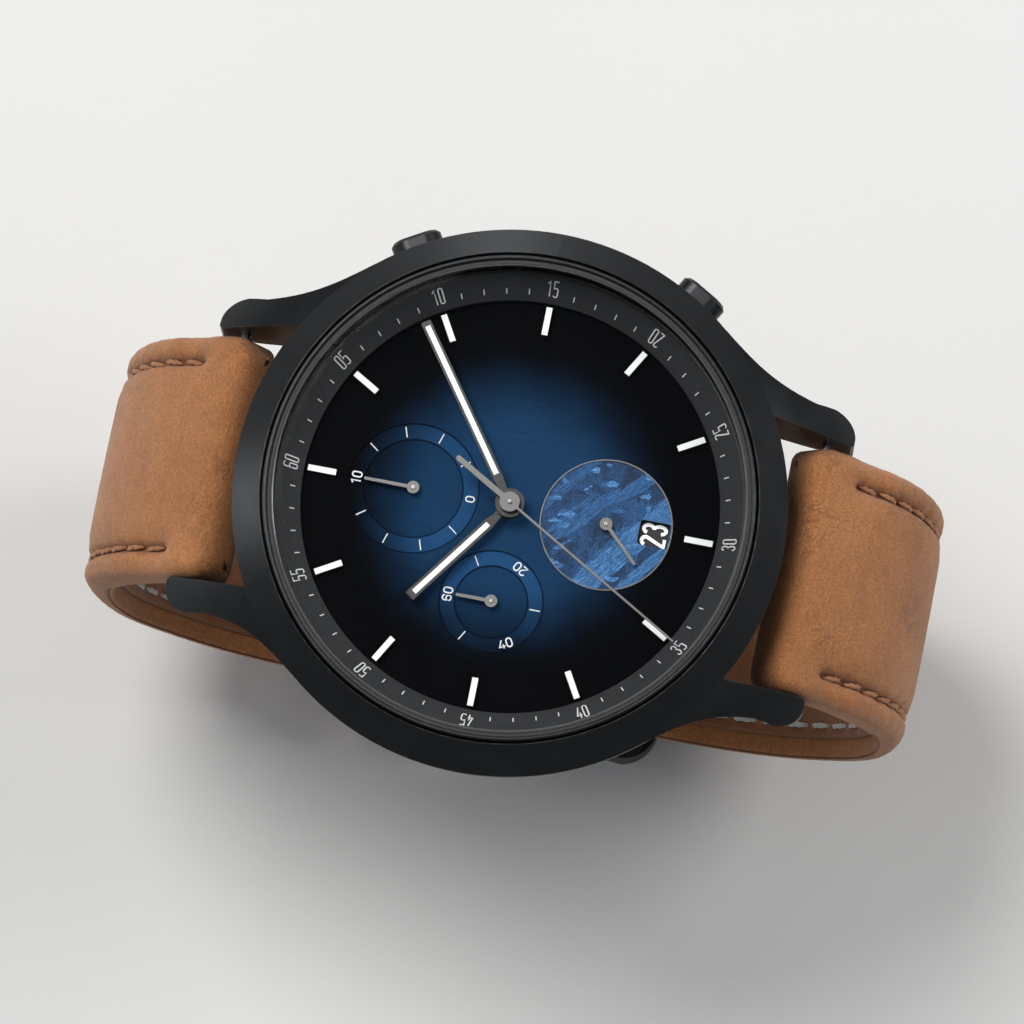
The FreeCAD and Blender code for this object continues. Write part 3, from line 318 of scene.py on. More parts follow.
def leather(name, light, dark, deep, rough=0.62, sheen=0.16, tooth=1.0):
    """Oiled nubuck: fine nap, small pores, soft creases, slow patches of colour; creases and pores are darker,
    and painted shade darkens every hollow.
    """
    p = Paint(name)
    patch = p.noise(0.10, 4.0, 0.6)
    mottle = p.noise(0.75, 5.0, 0.65)
    nap = p.noise(5.2 * tooth, 5.0, 0.8)
    fibre = p.noise(1.0, 4.0, 0.7, at=p.place((6.5, 2.4, 4.0), 38.0), distortion=0.8)
    pebble = p.cells(3.6 * tooth, output="Distance", feature="DISTANCE_TO_EDGE")
    crease = p.noise(0.55, 5.0, 0.62, distortion=1.4)
    crease = p.span(p.calc("ABSOLUTE", p.calc("SUBTRACT", crease, 0.5)), 0.0, 0.035, 1.0, 0.0)
    crease = p.calc("MULTIPLY", crease, p.span(p.noise(0.16, 2.0), 0.48, 0.66))
    pit = p.span(p.cells(2.6 * tooth, output="Distance"), 0.04, 0.15, 1.0, 0.0)
    pit = p.calc("MULTIPLY", pit, p.span(p.noise(0.9, 2.0), 0.46, 0.60))
    tone = p.calc("ADD", p.span(patch, 0.35, 0.65, 0.0, 0.6), p.span(mottle, 0.3, 0.7, 0.0, 0.4))
    colour = p.mix(tone, dark, light)
    colour = p.mix(1.0, colour, p.span(nap, 0.33, 0.67, 0.60, 1.36), "MULTIPLY")
    colour = p.mix(1.0, colour, p.span(fibre, 0.3, 0.7, 0.90, 1.10), "MULTIPLY")
    colour = p.mix(p.calc("MULTIPLY", crease, 0.20), colour, deep)
    colour = p.mix(p.calc("MULTIPLY", pit, 0.55), colour, deep)
    # Painted shade: the leather darkens towards its deep colour wherever ambient occlusion finds a hollow.
    colour = p.mix(p.span(p.hollows(0.5), 0.72, 0.20, 0.0, 0.95), colour, deep)
    height = p.calc("ADD", p.span(pebble, 0.0, 0.12, 0.0, 0.35), p.calc("MULTIPLY", nap, 1.1))
    height = p.calc("ADD", height, p.calc("MULTIPLY", fibre, 0.5))
    sunk = p.calc("ADD", p.calc("MULTIPLY", pit, 0.6), p.calc("MULTIPLY", crease, 0.8))
    height = p.calc("SUBTRACT", height, sunk)
    return p.done(colour=colour, rough=p.span(tone, 0.0, 1.0, rough + 0.08, rough - 0.05),
                  specular=0.3, sheen=sheen, sheen_rough=0.4, normal=p.bump(height, 0.075, 0.9))


def thread(name, light, dark):
    p = Paint(name)
    fibre = p.noise(1.0, 4.0, 0.7, at=p.place((7.0, 7.0, 7.0), 35.0))
    dirt = p.noise(0.7, 2.0)
    colour = p.mix(p.span(fibre, 0.3, 0.7), dark, light)
    # Painted shade: the thread darkens towards its dark colour in its hollows, from ambient occlusion.
    colour = p.mix(p.span(p.hollows(0.5), 0.7, 0.2, 0.0, 0.9), colour, dark)
    return p.done(colour=colour, rough=p.span(dirt, 0.3, 0.7, 0.5, 0.68), sheen=0.2, specular=0.35,
                  normal=p.bump(fibre, 0.02))


def floor_paper():
    p = Paint("floor_paper")
    tooth = p.noise(0.6, 5.0)
    slow = p.noise(0.01, 2.0)
    colour = p.mix(p.span(slow, 0.3, 0.7), (0.66, 0.66, 0.65), (0.70, 0.70, 0.69))
    return p.done(colour=colour, rough=p.span(tooth, 0.3, 0.7, 0.7, 0.85), specular=0.2,
                  normal=p.bump(tooth, 0.02))


PAINTS = {
    "black_steel": coated_steel(),
    "sapphire": sapphire(),
    "black_rubber": rubber(),
    "grey_ring": minute_ring_grey(),
    "blue_dial": dial_blue(),
    "blue_meteorite": meteorite_blue(),
    "silver": metal("silver", (0.125, 0.123, 0.121), (0.185, 0.182, 0.179), 0.48, (9.0, 9.0, 9.0), 0.002, 0.03),
    "black_paint": matt("black_paint", (0.012, 0.011, 0.010), (0.020, 0.018, 0.016), 0.35, 9.0, 0.002,
                        0.5, 0.2),
    "white_lume": matt("white_lume", (0.84, 0.89, 0.88), (0.92, 0.95, 0.94), 0.62, 14.0, 0.003, 0.3),
    "date_print": matt("date_print", (0.013, 0.013, 0.014), (0.022, 0.022, 0.023), 0.6, 9.0, 0.002),
    "steel": metal("steel", (0.36, 0.36, 0.37), (0.52, 0.52, 0.53), 0.3, (12.0, 12.0, 1.0)),
    "brushed_back": metal("brushed_back", (0.34, 0.34, 0.35), (0.5, 0.5, 0.51), 0.32, (14.0, 0.7, 4.0)),
    "brass": metal("brass", (0.48, 0.31, 0.10), (0.66, 0.46, 0.18), 0.28, (8.0, 8.0, 2.0), arbor=True),
    "nickel_brass": metal("nickel_brass", (0.40, 0.38, 0.33), (0.56, 0.53, 0.47), 0.33, (7.0, 1.0, 3.0)),
    "board": matt("board", (0.010, 0.055, 0.022), (0.020, 0.085, 0.035), 0.42, 5.0, 0.003, 0.5, 0.2),
    "copper": metal("copper", (0.42, 0.15, 0.06), (0.66, 0.27, 0.12), 0.34, (1.0, 9.0, 9.0), 0.02),
    "magnet": metal("magnet", (0.16, 0.155, 0.15), (0.25, 0.24, 0.23), 0.4, (9.0, 9.0, 1.0)),
    "white_plastic": matt("white_plastic", (0.60, 0.60, 0.57), (0.72, 0.71, 0.68), 0.45, 4.0, 0.003),
    "tan_leather": leather("tan_leather", (0.420, 0.174, 0.061), (0.310, 0.121, 0.039),
                           (0.085, 0.030, 0.010)),
    "lining_leather": leather("lining_leather", (0.300, 0.120, 0.046), (0.200, 0.075, 0.028),
                              (0.070, 0.025, 0.010), 0.72, 0.3, 1.3),
    "padding": matt("padding", (0.18, 0.15, 0.12), (0.27, 0.23, 0.19), 0.85, 2.5, 0.05, 0.2),
}
PRINT = matt("white_print", (0.70, 0.72, 0.72), (0.80, 0.82, 0.82), 0.6, 14.0, 0.002, 0.3)
# The date figures glow faintly: painted light that keeps them bright in the shade of the date window.
DATE_PRINT = matt("date_figures", (0.90, 0.90, 0.90), (0.94, 0.94, 0.94), 0.6, 14.0, 0.002, 0.3, glow=0.3)
RING_PRINT = matt("ring_print", (0.58, 0.59, 0.60), (0.70, 0.71, 0.72), 0.6, 14.0, 0.002, 0.3)
TAN_THREAD = thread("tan_thread", (0.46, 0.20, 0.078), (0.15, 0.052, 0.018))
PALE_THREAD = thread("pale_thread", (0.62, 0.62, 0.60), (0.30, 0.29, 0.27))


for part in frame["record"]["subparts"]:
    carried = NODES[part["node"]].data
    carried.materials.clear()
    carried.materials.append(PAINTS[part["material_slot"]])


# ---------------------------------------------------------------- meshes
class Build:
    """Vertices (in mm) and faces that become one piece."""

    def __init__(self):
        self.points = []
        self.faces = []

    def add(self, points, faces):
        start = len(self.points)
        self.points += points
        self.faces += [tuple(start + i for i in face) for face in faces]

    def tube(self, sections, closed=False):
        """Joins rings of points of the same length, with end caps unless closed."""
        size = len(sections[0])
        count = len(sections)
        faces = []
        for i in range(count if closed else count - 1):
            here, there = i * size, ((i + 1) % count) * size
            for k in range(size):
                other = (k + 1) % size
                faces.append((here + k, here + other, there + other, there + k))
        if not closed:
            faces.append(tuple(reversed(range(size))))
            faces.append(tuple(range((count - 1) * size, count * size)))
        self.add([point for section in sections for point in section], faces)

    def piece(self, name, material, body, slot, smooth=True):
        mesh = bpy.data.meshes.new(name)
        mesh.from_pydata([(x * MM, y * MM, z * MM) for x, y, z in self.points], [], self.faces)
        mesh.materials.append(material)
        if smooth:
            mesh.polygons.foreach_set("use_smooth", [True] * len(mesh.polygons))
        shape = bmesh.new()
        shape.from_mesh(mesh)
        bmesh.ops.recalc_face_normals(shape, faces=shape.faces)
        shape.to_mesh(mesh)
        shape.free()
        mesh.update()
        made = bpy.data.objects.new(name, mesh)
        bpy.context.scene.collection.objects.link(made)
        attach(made, body)
        return made


def smooth_step(value, low, high):
    share = min(1.0, max(0.0, (value - low) / (high - low)))
    return share * share * (3 - 2 * share)


def hump(value, centre, width):
    return math.exp(-((value - centre) / width) ** 2)


# ---------------------------------------------------------------- printed figures
FIGURE_HALF = 0.17  # half the width of a figure one unit tall, to the middle of its stroke


def bend(x, y, radius, start, end, squash=1.0):
    steps = max(3, round(abs(end - start) / 18))
    turns = [math.radians(start + (end - start) * i / steps) for i in range(steps + 1)]
    return [(x + radius * math.cos(a), y + radius * squash * math.sin(a)) for a in turns]


def figure(character, half=FIGURE_HALF):
    """Strokes of one figure, as (points, closed), one unit tall."""
    low, high = half, 1.0 - half
    if character == "0":
        return [(bend(0, high, half, 0, 180) + bend(0, low, half, 180, 360), True)]
    if character == "1":
        return [([(-half * 0.75, 0.80), (half * 0.35, 1.0), (half * 0.35, 0.0)], False)]
    if character == "2":
        return [(bend(0, high, half, 170, -28) + [(-half, 0.0), (half * 1.05, 0.0)], False)]
    if character == "3":
        upper, lower = (1.0 - 0.54) / 2, 0.54 / 2
        return [(bend(0, 1 - upper, half, 165, -88, upper / half), False),
                (bend(0, lower, half, 88, -165, lower / half), False)]
    if character == "4":
        return [([(half * 0.3, 1.0), (-half * 1.1, 0.26), (half * 1.25, 0.26)], False),
                ([(half * 0.5, 0.50), (half * 0.5, 0.0)], False)]
    if character == "5":
        bowl = bend(0, 0.58 - half, half, 140, 0) + bend(0, low, half, 0, -165)
        return [([(half, 1.0), (-half, 1.0), (-half, 0.50)] + bowl, False)]
    if character == "6":
        return [(bend(0, 0.58 - half, half, 0, 180) + bend(0, low, half, 180, 360), True),
                (bend(0, high, half, 12, 180) + [(-half, 0.35)], False)]
    if character == "7":
        return [([(-half, 1.0), (half, 1.0), (-half * 0.3, 0.0)], False)]
    if character == "8":
        upper, lower = (1.0 - 0.54) / 2, 0.54 / 2
        return [(bend(0, 1 - upper, half * 0.94, 0, 342, upper / half), True),
                (bend(0, lower, half, 0, 342, lower / half), True)]
    turned = []
    for points, closed in figure("6", half):
        turned.append(([(-x, 1.0 - y) for x, y in points], closed))
    return turned


def stroke_outline(points, width, closed):
    """(left, right) offsets of each point, with mitred corners."""
    pairs = []
    count = len(points)
    for i, (x, y) in enumerate(points):
        ahead = points[(i + 1) % count] if closed or i < count - 1 else None
        behind = points[i - 1] if closed or i > 0 else None
        normals = []
        for a, b in ((behind, (x, y)), ((x, y), ahead)):
            if a is not None and b is not None:
                length = math.hypot(b[0] - a[0], b[1] - a[1])
                if length > 1e-6:
                    normals.append((-(b[1] - a[1]) / length, (b[0] - a[0]) / length))
        nx = sum(n[0] for n in normals) / len(normals)
        ny = sum(n[1] for n in normals) / len(normals)
        reach = width / 2.0 / max(0.35, nx * nx + ny * ny)
        pairs.append(((x + nx * reach, y + ny * reach), (x - nx * reach, y - ny * reach)))
    return pairs


INK = 0.012  # how far a print stands on its surface, and how deep it is rooted


def print_stroke(build, points, width, closed, place):
    """A stroke as a thin raised layer. place(u, v, lift) gives a point in space."""
    sections = []
    for left, right in stroke_outline(points, width, closed):
        sections.append([place(*left, INK), place(*right, INK), place(*right, -INK), place(*left, -INK)])
    build.tube(sections, closed)


def print_figures(build, text, height, width, weight, place, gap=0.0):
    """Figures side by side, centred. width is one figure's width over its strokes."""
    half = (width - weight) / 2.0 / height
    advance = width + gap
    inner = height - weight
    for i, character in enumerate(text):
        centre = (i - (len(text) - 1) / 2.0) * advance
        for points, closed in figure(character, half * height / inner):
            drawn = [(centre + x * inner, (y - 0.5) * inner) for x, y in points]
            print_stroke(build, drawn, weight, closed, place)


def clock(degrees):
    """Unit direction of a clock angle on the dial."""
    turn = math.radians(degrees)
    return math.sin(turn), math.cos(turn)


def flat_place(centre, z, turn=0.0):
    """Places print on a flat face: v points along the clock angle turn."""
    vx, vy = clock(turn)

    def place(u, v, lift):
        return (centre[0] + u * vy + v * vx, centre[1] - u * vx + v * vy, z + lift)
    return place


RING_INNER = (16.42, 7.85)
RING_SLOPE = math.sqrt(0.5)


def ring_place(degrees, radius, inward_top=False):
    """Places print on the sloping minute ring, bent round it."""
    def place(u, v, lift):
        if inward_top:
            u, v = -u, -v
        r = radius + v * RING_SLOPE - lift * RING_SLOPE
        z = RING_INNER[1] + (radius - RING_INNER[0]) + v * RING_SLOPE + lift * RING_SLOPE
        turn = math.radians(degrees) + u / radius
        return (r * math.sin(turn), r * math.cos(turn), z)
    return place


def bar_print(build, place, width, low, high):
    print_stroke(build, [(0.0, low), (0.0, high)], width, False, place)


ring_print = Build()
for minute in range(60):
    angle = minute * 6.0
    if minute % 5:
        bar_print(ring_print, ring_place(angle, 17.05), 0.085, -0.26, 0.26)
    else:
        label = "60" if minute == 0 else f"{minute:02d}"
        place = ring_place(angle, 17.42, 20 <= minute <= 40)
        print_figures(ring_print, label, 1.55, 0.43, 0.105, place, 0.10)
ring_print.piece("minute_ring_print", RING_PRINT, "watch", "date_print", smooth=False)

DIAL_LEVEL = 7.4
SCALE_LEVEL = DIAL_LEVEL - 0.08  # the sub-dials' scales are sunk rings
TOP_FIGURE_R, LEFT_FIGURE_R = 4.53, 3.47  # from a sub-dial's centre to its figures
dial_print = Build()
(top_centre, top_inner, top_outer), (left_centre, left_inner, left_outer) = SUBDIALS
for step in range(1, 10):
    if step != 5:
        dx, dy = clock(step * 36.0)
        middle = (top_inner + top_outer) / 2.0
        at = (top_centre[0] + dx * middle, top_centre[1] + dy * middle)
        bar_print(dial_print, flat_place(at, SCALE_LEVEL, step * 36.0), 0.085, -0.42, 0.42)
at = (0.0, top_centre[1] + TOP_FIGURE_R)
print_figures(dial_print, "10", 0.86, 0.50, 0.115, flat_place(at, SCALE_LEVEL), 0.06)
at = (0.0, top_centre[1] - TOP_FIGURE_R)
print_figures(dial_print, "0", 0.78, 0.52, 0.115, flat_place(at, SCALE_LEVEL))
for angle in (60.0, 180.0, 300.0):
    dx, dy = clock(angle)
    middle = (left_inner + left_outer) / 2.0
    at = (left_centre[0] + dx * middle, left_centre[1] + dy * middle)
    bar_print(dial_print, flat_place(at, SCALE_LEVEL, angle), 0.08, -0.42, 0.42)
for label, angle, turn in (("60", 0.0, 0.0), ("20", 120.0, -60.0), ("40", 240.0, 60.0)):
    dx, dy = clock(angle)
    at = (left_centre[0] + dx * LEFT_FIGURE_R, left_centre[1] + dy * LEFT_FIGURE_R)
    print_figures(dial_print, label, 0.80, 0.52, 0.11, flat_place(at, SCALE_LEVEL, turn), 0.08)
dial_print.piece("dial_print", PRINT, "watch", "date_print", smooth=False)

DATE_R = 11.45
DATE_LEVEL = 6.65
date_print = Build()
for day in range(1, 32):
    angle = 180.0 + (day - 23) * 360.0 / 31.0
    dx, dy = clock(angle)
    place = flat_place((dx * DATE_R, dy * DATE_R), DATE_LEVEL, angle - 180.0)
    print_figures(date_print, str(day), 2.05, 0.88, 0.27, place, 0.09)
date_print.piece("date_figures", DATE_PRINT, "date_body", "date_print", smooth=False)


# ---------------------------------------------------------------- strap line
BAR_Y, BAR_Z = 23.4, 3.2
START_TURN = -36.0
LEAD = 0.8
SHOULDER_R, SHOULDER_TURN = 20.1, -50.0
SIDE_LENGTH, SIDE_TURN = 11.8, -14.0
CORNER_R, CORNER_TURN = 16.5, -80.0
PADDED_HALF, THIN_HALF = 2.3, 1.1
PAD_START, PAD_LENGTH = 4.0, 26.0
STRAP_HALF, BUCKLE_HALF = 9.85, 9.0
BUCKLE_BAR_Y = -4.5
TAIL_DROP, TAIL_SHRINK = 2.775, 0.025
DROP_START, DROP_END = 10.6, 6.2
TAIL_POINT_Y, TAIL_TIP_Y = -13.5, -19.5
TIP_NARROWING = 0.667  # share of its width that the tail loses at its tip
TAPER_TOP_Z, TAPER_DROP = -4.0, 28.0  # the strap narrows towards the buckle below this height


def corner_points():
    """(distance, y, z, heading) along the strap's middle line from the spring bar to the flat."""
    y, z, heading, travelled = BAR_Y, BAR_Z, math.radians(START_TURN), 0.0
    points = [(travelled, y, z, heading)]
    arcs = [(LEAD, 0.0), (SHOULDER_R * math.radians(-SHOULDER_TURN), SHOULDER_TURN), (SIDE_LENGTH, SIDE_TURN),
            (CORNER_R * math.radians(-CORNER_TURN), CORNER_TURN)]
    for length, turn in arcs:
        steps = max(1, round(length / 1.6))
        for _ in range(steps):
            half_turn = math.radians(turn) / steps / 2.0
            heading += half_turn
            y += length / steps * math.cos(heading)
            z += length / steps * math.sin(heading)
            heading += half_turn
            travelled += length / steps
            points.append((travelled, y, z, heading))
    return points


CORNERS = corner_points()
ROUTE_END = CORNERS[-1][0]
FLAT_Y, LEVEL = CORNERS[-1][1], CORNERS[-1][2]


def line_place(s, is_long):
    """(y, z) of the middle line at distance s."""
    if s >= ROUTE_END:
        y = FLAT_Y - (s - ROUTE_END)
        drop = smooth_step(-y, -DROP_START, -DROP_END) if is_long else 0.0
        return y, LEVEL - TAIL_DROP * drop
    s = max(0.0, s)
    for (s0, y0, z0, h0), (s1, y1, z1, h1) in zip(CORNERS, CORNERS[1:]):
        if s <= s1:
            t = (s - s0) / (s1 - s0)
            a, b = (2 * t + 1) * (1 - t) ** 2, t * (1 - t) ** 2
            c, d = t * t * (3 - 2 * t), t * t * (t - 1)
            length = s1 - s0
            y = a * y0 + b * length * math.cos(h0) + c * y1 + d * length * math.cos(h1)
            z = a * z0 + b * length * math.sin(h0) + c * z1 + d * length * math.sin(h1)
            return y, z
    return FLAT_Y, LEVEL


def line_frame(s, is_long):
    """(y, z, outward y, outward z, along y, along z) at distance s."""
    y, z = line_place(s, is_long)
    ya, za = line_place(max(s - 0.05, 0.0), is_long)
    yb, zb = line_place(max(s - 0.05, 0.0) + 0.1, is_long)
    length = math.hypot(yb - ya, zb - za)
    ty, tz = (yb - ya) / length, (zb - za) / length
    return y, z, -tz, ty, ty, tz


def half_thick(s):
    eased = smooth_step(s, PAD_START, PAD_START + PAD_LENGTH)
    half = PADDED_HALF + (THIN_HALF - PADDED_HALF) * eased
    y = FLAT_Y - (s - ROUTE_END)
    if s > ROUTE_END and y < -TAIL_TIP_Y and y < DROP_END:
        half -= TAIL_SHRINK
    return half


def half_wide(s, is_long):
    _, z = line_place(s, is_long)
    taper = min(1.0, max(0.0, (TAPER_TOP_Z - z) / TAPER_DROP))
    wide = STRAP_HALF + (BUCKLE_HALF - STRAP_HALF) * taper
    y = FLAT_Y - (s - ROUTE_END)
    if is_long and s > ROUTE_END and y < TAIL_POINT_Y:
        share = min(1.0, (TAIL_POINT_Y - y) / (TAIL_POINT_Y - TAIL_TIP_Y))
        wide *= 1.0 - TIP_NARROWING * share ** 1.8
    return wide


def strap_end(is_long):
    """Distance at which the leather ends."""
    last_y = TAIL_TIP_Y if is_long else BUCKLE_BAR_Y
    return ROUTE_END + FLAT_Y - last_y


# ---------------------------------------------------------------- strap leather
SEAM_IN = 2.2  # from the strap's edge to its stitched seam
SEAM_START = 2.75
PITCH = 2.25
SHOULDER_ROUND = 1.1
NOSE_LENGTH = 2.3  # how far the fold reaches past the spring bar
NOSE_ROUND = 2.0  # corner of the folded end, seen from above


def seam_share(s, is_long, lead, settle):
    """0 before the stitching starts, 1 along it, easing in from lead before its start to settle after it."""
    end = strap_end(is_long) - 2.6
    return smooth_step(s, SEAM_START - lead, SEAM_START + settle) * (1.0 - smooth_step(s, end, end + 1.0))


def top_height(s, edge, wide, is_long):
    """Height of the outer face over the middle line, edge mm in from the strap's edge."""
    half = half_thick(s)
    plump = half / PADDED_HALF
    sewn = seam_share(s, is_long, 0.5, 0.5)
    drawn_in = seam_share(s, is_long, 2.2, 1.2)
    across = 1.0 - edge / wide
    height = half + 0.16 * plump * (1.0 - across * across) - 0.04
    phase = (s - SEAM_START) / PITCH
    hole = math.cos(math.pi * phase) ** 8
    puff = abs(math.sin(math.pi * phase)) ** 0.7
    waist = 0.34 * hump(s, SEAM_START + 0.9, 2.0)
    pinch = (0.46 + waist) * plump * (1.0 - smooth_step(edge, SEAM_IN - 0.15, SEAM_IN + 2.1))
    groove = (0.46 * plump + 0.10) * hump(edge, SEAM_IN, 0.36)
    holes = 0.34 * plump * hole * hump(edge, SEAM_IN - 0.12, 0.55)
    roll = 0.24 * plump * (0.45 + 0.55 * puff) * hump(edge, SEAM_IN - 1.0, 0.55)
    ripple = 0.10 * plump * puff * hump(edge, SEAM_IN + 0.65, 0.35)
    height += sewn * (ripple - groove - holes) + drawn_in * (roll - pinch)
    pit = hump(s, SEAM_START - 0.25, 0.42) * hump(edge, SEAM_IN, 0.36)
    dimple = 0.16 * plump * hump(s, SEAM_START - 0.6, 1.1) * hump(edge, SEAM_IN, 1.0)
    return height - 0.5 * plump * pit - dimple


EDGE_MARKS = (3.6, 3.2, 2.9, 2.68, 2.52, 2.40, 2.30, 2.22, 2.14, 2.05, 1.94, 1.82, 1.66, 1.48, 1.28)
MIDDLE_IN = 4.1  # from the edge to the plain middle of the strap


def cover_section(s, is_long):
    """Ring of (x, height over the middle line) round the leather."""
    half = half_thick(s)
    wide = half_wide(s, is_long)
    corner = min(1.0, max(0.0, (NOSE_ROUND - NOSE_LENGTH - s) / NOSE_ROUND))
    wide -= NOSE_ROUND * (1.0 - math.sqrt(max(0.0, 1.0 - corner ** 2.2)))
    nose = min(1.0, max(0.0, -s / NOSE_LENGTH))
    lift = max(0.03, max(0.0, 1.0 - nose ** 3) ** (1.0 / 3.0))
    thin = half * lift
    round_top = min(SHOULDER_ROUND, 0.75 * thin)
    round_low = min(0.45, 0.4 * thin)
    shrink = min(1.0, wide / 4.8)

    def top(edge):
        return top_height(max(s, 0.0), edge / shrink, wide / shrink, is_long) * lift
    insets = [wide - (wide - MIDDLE_IN * shrink) * f for f in (0.22, 0.44, 0.66, 0.84, 1.0)]
    insets += [mark * shrink for mark in EDGE_MARKS]
    right = [(wide - edge, top(edge)) for edge in insets]
    edge_top = top(SHOULDER_ROUND)
    shoulder = []
    for step in range(0, 7):
        turn = math.radians(90.0 - step * 15.0)
        shoulder.append((wide - round_top * (1.0 - math.cos(turn)),
                         edge_top - round_top * (1.0 - math.sin(turn))))
    wrist = wrist_height(s, half) * lift
    wall_top = edge_top - round_top
    wall = [(wide - 0.02, wall_top * 0.6 + wrist * 0.4), (wide - 0.06, wall_top * 0.25 + wrist * 0.75)]
    low = []
    for step in range(0, 4):
        turn = math.radians(-step * 30.0)
        low.append((wide - 0.06 - round_low * (1.0 - math.cos(turn)),
                    wrist + round_low * (1.0 + math.sin(turn))))
    under = [(wide * 0.75, wrist), (wide * 0.5, wrist), (wide * 0.25, wrist)]
    half_ring = right + shoulder + wall + low + under
    top_middle = [(0.0, top(wide))]
    left_ring = [(-x, h) for x, h in reversed(half_ring)]
    return top_middle + half_ring + [(0.0, wrist)] + left_ring


LINING = 0.5  # how much of the thickness the lining panel takes


def wrist_height(s, half):
    """Height of the leather's wrist face: it steps back for the lining panel."""
    return -half + LINING * smooth_step(s, 1.0, 3.4)


def swept(sections, is_long):
    """Turns (s, ring) pairs into rings of points in space."""
    rings = []
    side = -1.0 if is_long else 1.0
    for s, ring in sections:
        y, z, ny, nz, ty, tz = line_frame(s, is_long)
        back = min(0.0, s)
        placed = [(x, side * (y + ny * h + ty * back), z + nz * h + tz * back) for x, h in ring]
        rings.append(placed if is_long else list(reversed(placed)))
    return rings


def cover_stations(is_long):
    nose = [-NOSE_LENGTH * math.cos(math.radians(a)) for a in (2, 9, 17, 26, 36, 47, 58, 69, 80)]
    stations = nose + [0.0]
    end = strap_end(is_long)
    count = round(end / 0.30)
    stations += [end * (i + 1) / count for i in range(count)]
    return stations


def cut_out(piece, cutters):
    """Takes closed cutter shapes out of a piece."""
    tool_mesh = bpy.data.meshes.new("tool")
    tool_mesh.from_pydata([tuple(c * MM for c in p) for p in cutters.points], [], cutters.faces)
    tool = bpy.data.objects.new("tool", tool_mesh)
    bpy.context.scene.collection.objects.link(tool)
    cut = piece.modifiers.new("cut", "BOOLEAN")
    cut.operation = "DIFFERENCE"
    cut.solver = "EXACT"
    cut.use_self = True
    cut.object = tool
    bpy.context.view_layer.update()
    result = bpy.data.meshes.new_from_object(piece.evaluated_get(bpy.context.evaluated_depsgraph_get()))
    piece.modifiers.remove(cut)
    piece.data = result
    bpy.data.objects.remove(tool)


def block(build, low, high):
    corners = [(x, y, z) for x in (low[0], high[0]) for y in (low[1], high[1]) for z in (low[2], high[2])]
    build.add(corners, [(0, 1, 3, 2), (4, 6, 7, 5), (0, 4, 5, 1), (2, 3, 7, 6), (0, 2, 6, 4), (1, 5, 7, 3)])


def post(build, radius, y, low, high, sides=28):
    """A round upright cutter on the strap's middle line."""
    turns = [2 * math.pi * i / sides for i in range(sides)]
    build.tube([[(radius * math.cos(a), y - radius * math.sin(a), z) for a in turns] for z in (low, high)])


def make_cover(is_long):
    build = Build()
    build.tube(swept([(s, cover_section(s, is_long)) for s in cover_stations(is_long)], is_long))
    name = "strap_long_cover" if is_long else "strap_short_cover"
    piece = build.piece(name, PAINTS["tan_leather"], "watch", "tan_leather")
    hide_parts("strap_long_leather" if is_long else "strap_short_leather")
    return piece


covers = {is_long: make_cover(is_long) for is_long in (False, True)}

FILLER_IN = 3.7  # from the strap's edge to the padding inside
FILLER_SPAN = (3.4, 31.0)


def filler_section(s, is_long):
    half = half_thick(s) - 1.0
    wide = half_wide(s, is_long) - FILLER_IN
    return [(wide * math.cos(a) ** 0.4 if i < 5 else -wide * abs(math.cos(a)) ** 0.4, half * math.sin(a))
            for i, a in enumerate(math.radians(-80 + 40 * k) for k in range(9))]


fillers = Build()
for is_long in (False, True):
    start, end = FILLER_SPAN
    places = [start + (end - start) * i / 30 for i in range(31)]
    fillers.tube(swept([(s, filler_section(s, is_long)) for s in places], is_long))
filler_piece = fillers.piece("strap_padding", PAINTS["padding"], "watch", "padding")
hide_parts("strap_fillers")

HOLE_R, HOLE_YS = 0.9, (1.5, 8.0, -14.2, -20.0)
TONGUE_SLOT_YS = (-10.7, -5.3)  # the long strap's hole that the tongue stands in

slot_cuts = Build()
block(slot_cuts, (-1.2, BUCKLE_BAR_Y - 2.6, LEVEL - 3.0), (1.2, BUCKLE_BAR_Y + 2.5, LEVEL + 3.0))
cut_out(covers[False], slot_cuts)
hole_cuts = Build()
block(hole_cuts, (-1.1, TONGUE_SLOT_YS[0], LEVEL - 6.0), (1.1, TONGUE_SLOT_YS[1], LEVEL + 3.0))
for hole_y in HOLE_YS:
    post(hole_cuts, HOLE_R, hole_y, LEVEL - 6.0, LEVEL + 3.0)
cut_out(covers[True], hole_cuts)


# ---------------------------------------------------------------- stitches
STITCH_R = 0.26


def stitch(build, centre, along, out, length, radius, turns, arch, slant):
    """A twisted two-ply stitch that dives into the leather at both ends."""
    side = along.cross(out)
    sections = []
    steps = 11
    for i in range(steps + 1):
        t = i / steps
        swell = math.sqrt(max(0.0, 1.0 - (2 * t - 1) ** 4)) * 0.85 + 0.15
        middle = (centre + along * (t - 0.5) * length + side * slant * (t - 0.5) * 2
                  + out * (arch * (1.0 - (2 * t - 1) ** 2) - 0.08))
        ring = []
        for k in range(12):
            a = 2 * math.pi * k / 12
            lobe = 0.84 + 0.16 * math.cos(2 * (a - turns * 2 * math.pi * t))
            r = radius * swell * lobe
            ring.append(tuple(middle + side * (r * math.cos(a)) + out * (r * math.sin(a))))
        sections.append(ring)
    build.tube(sections)


def seam_point(s, x, height, is_long):
    y, z, ny, nz, ty, tz = line_frame(s, is_long)
    side = -1.0 if is_long else 1.0
    return (Vector((x, side * (y + ny * height), z + nz * height)), Vector((0, side * ty, tz)),
            Vector((0, side * ny, nz)))


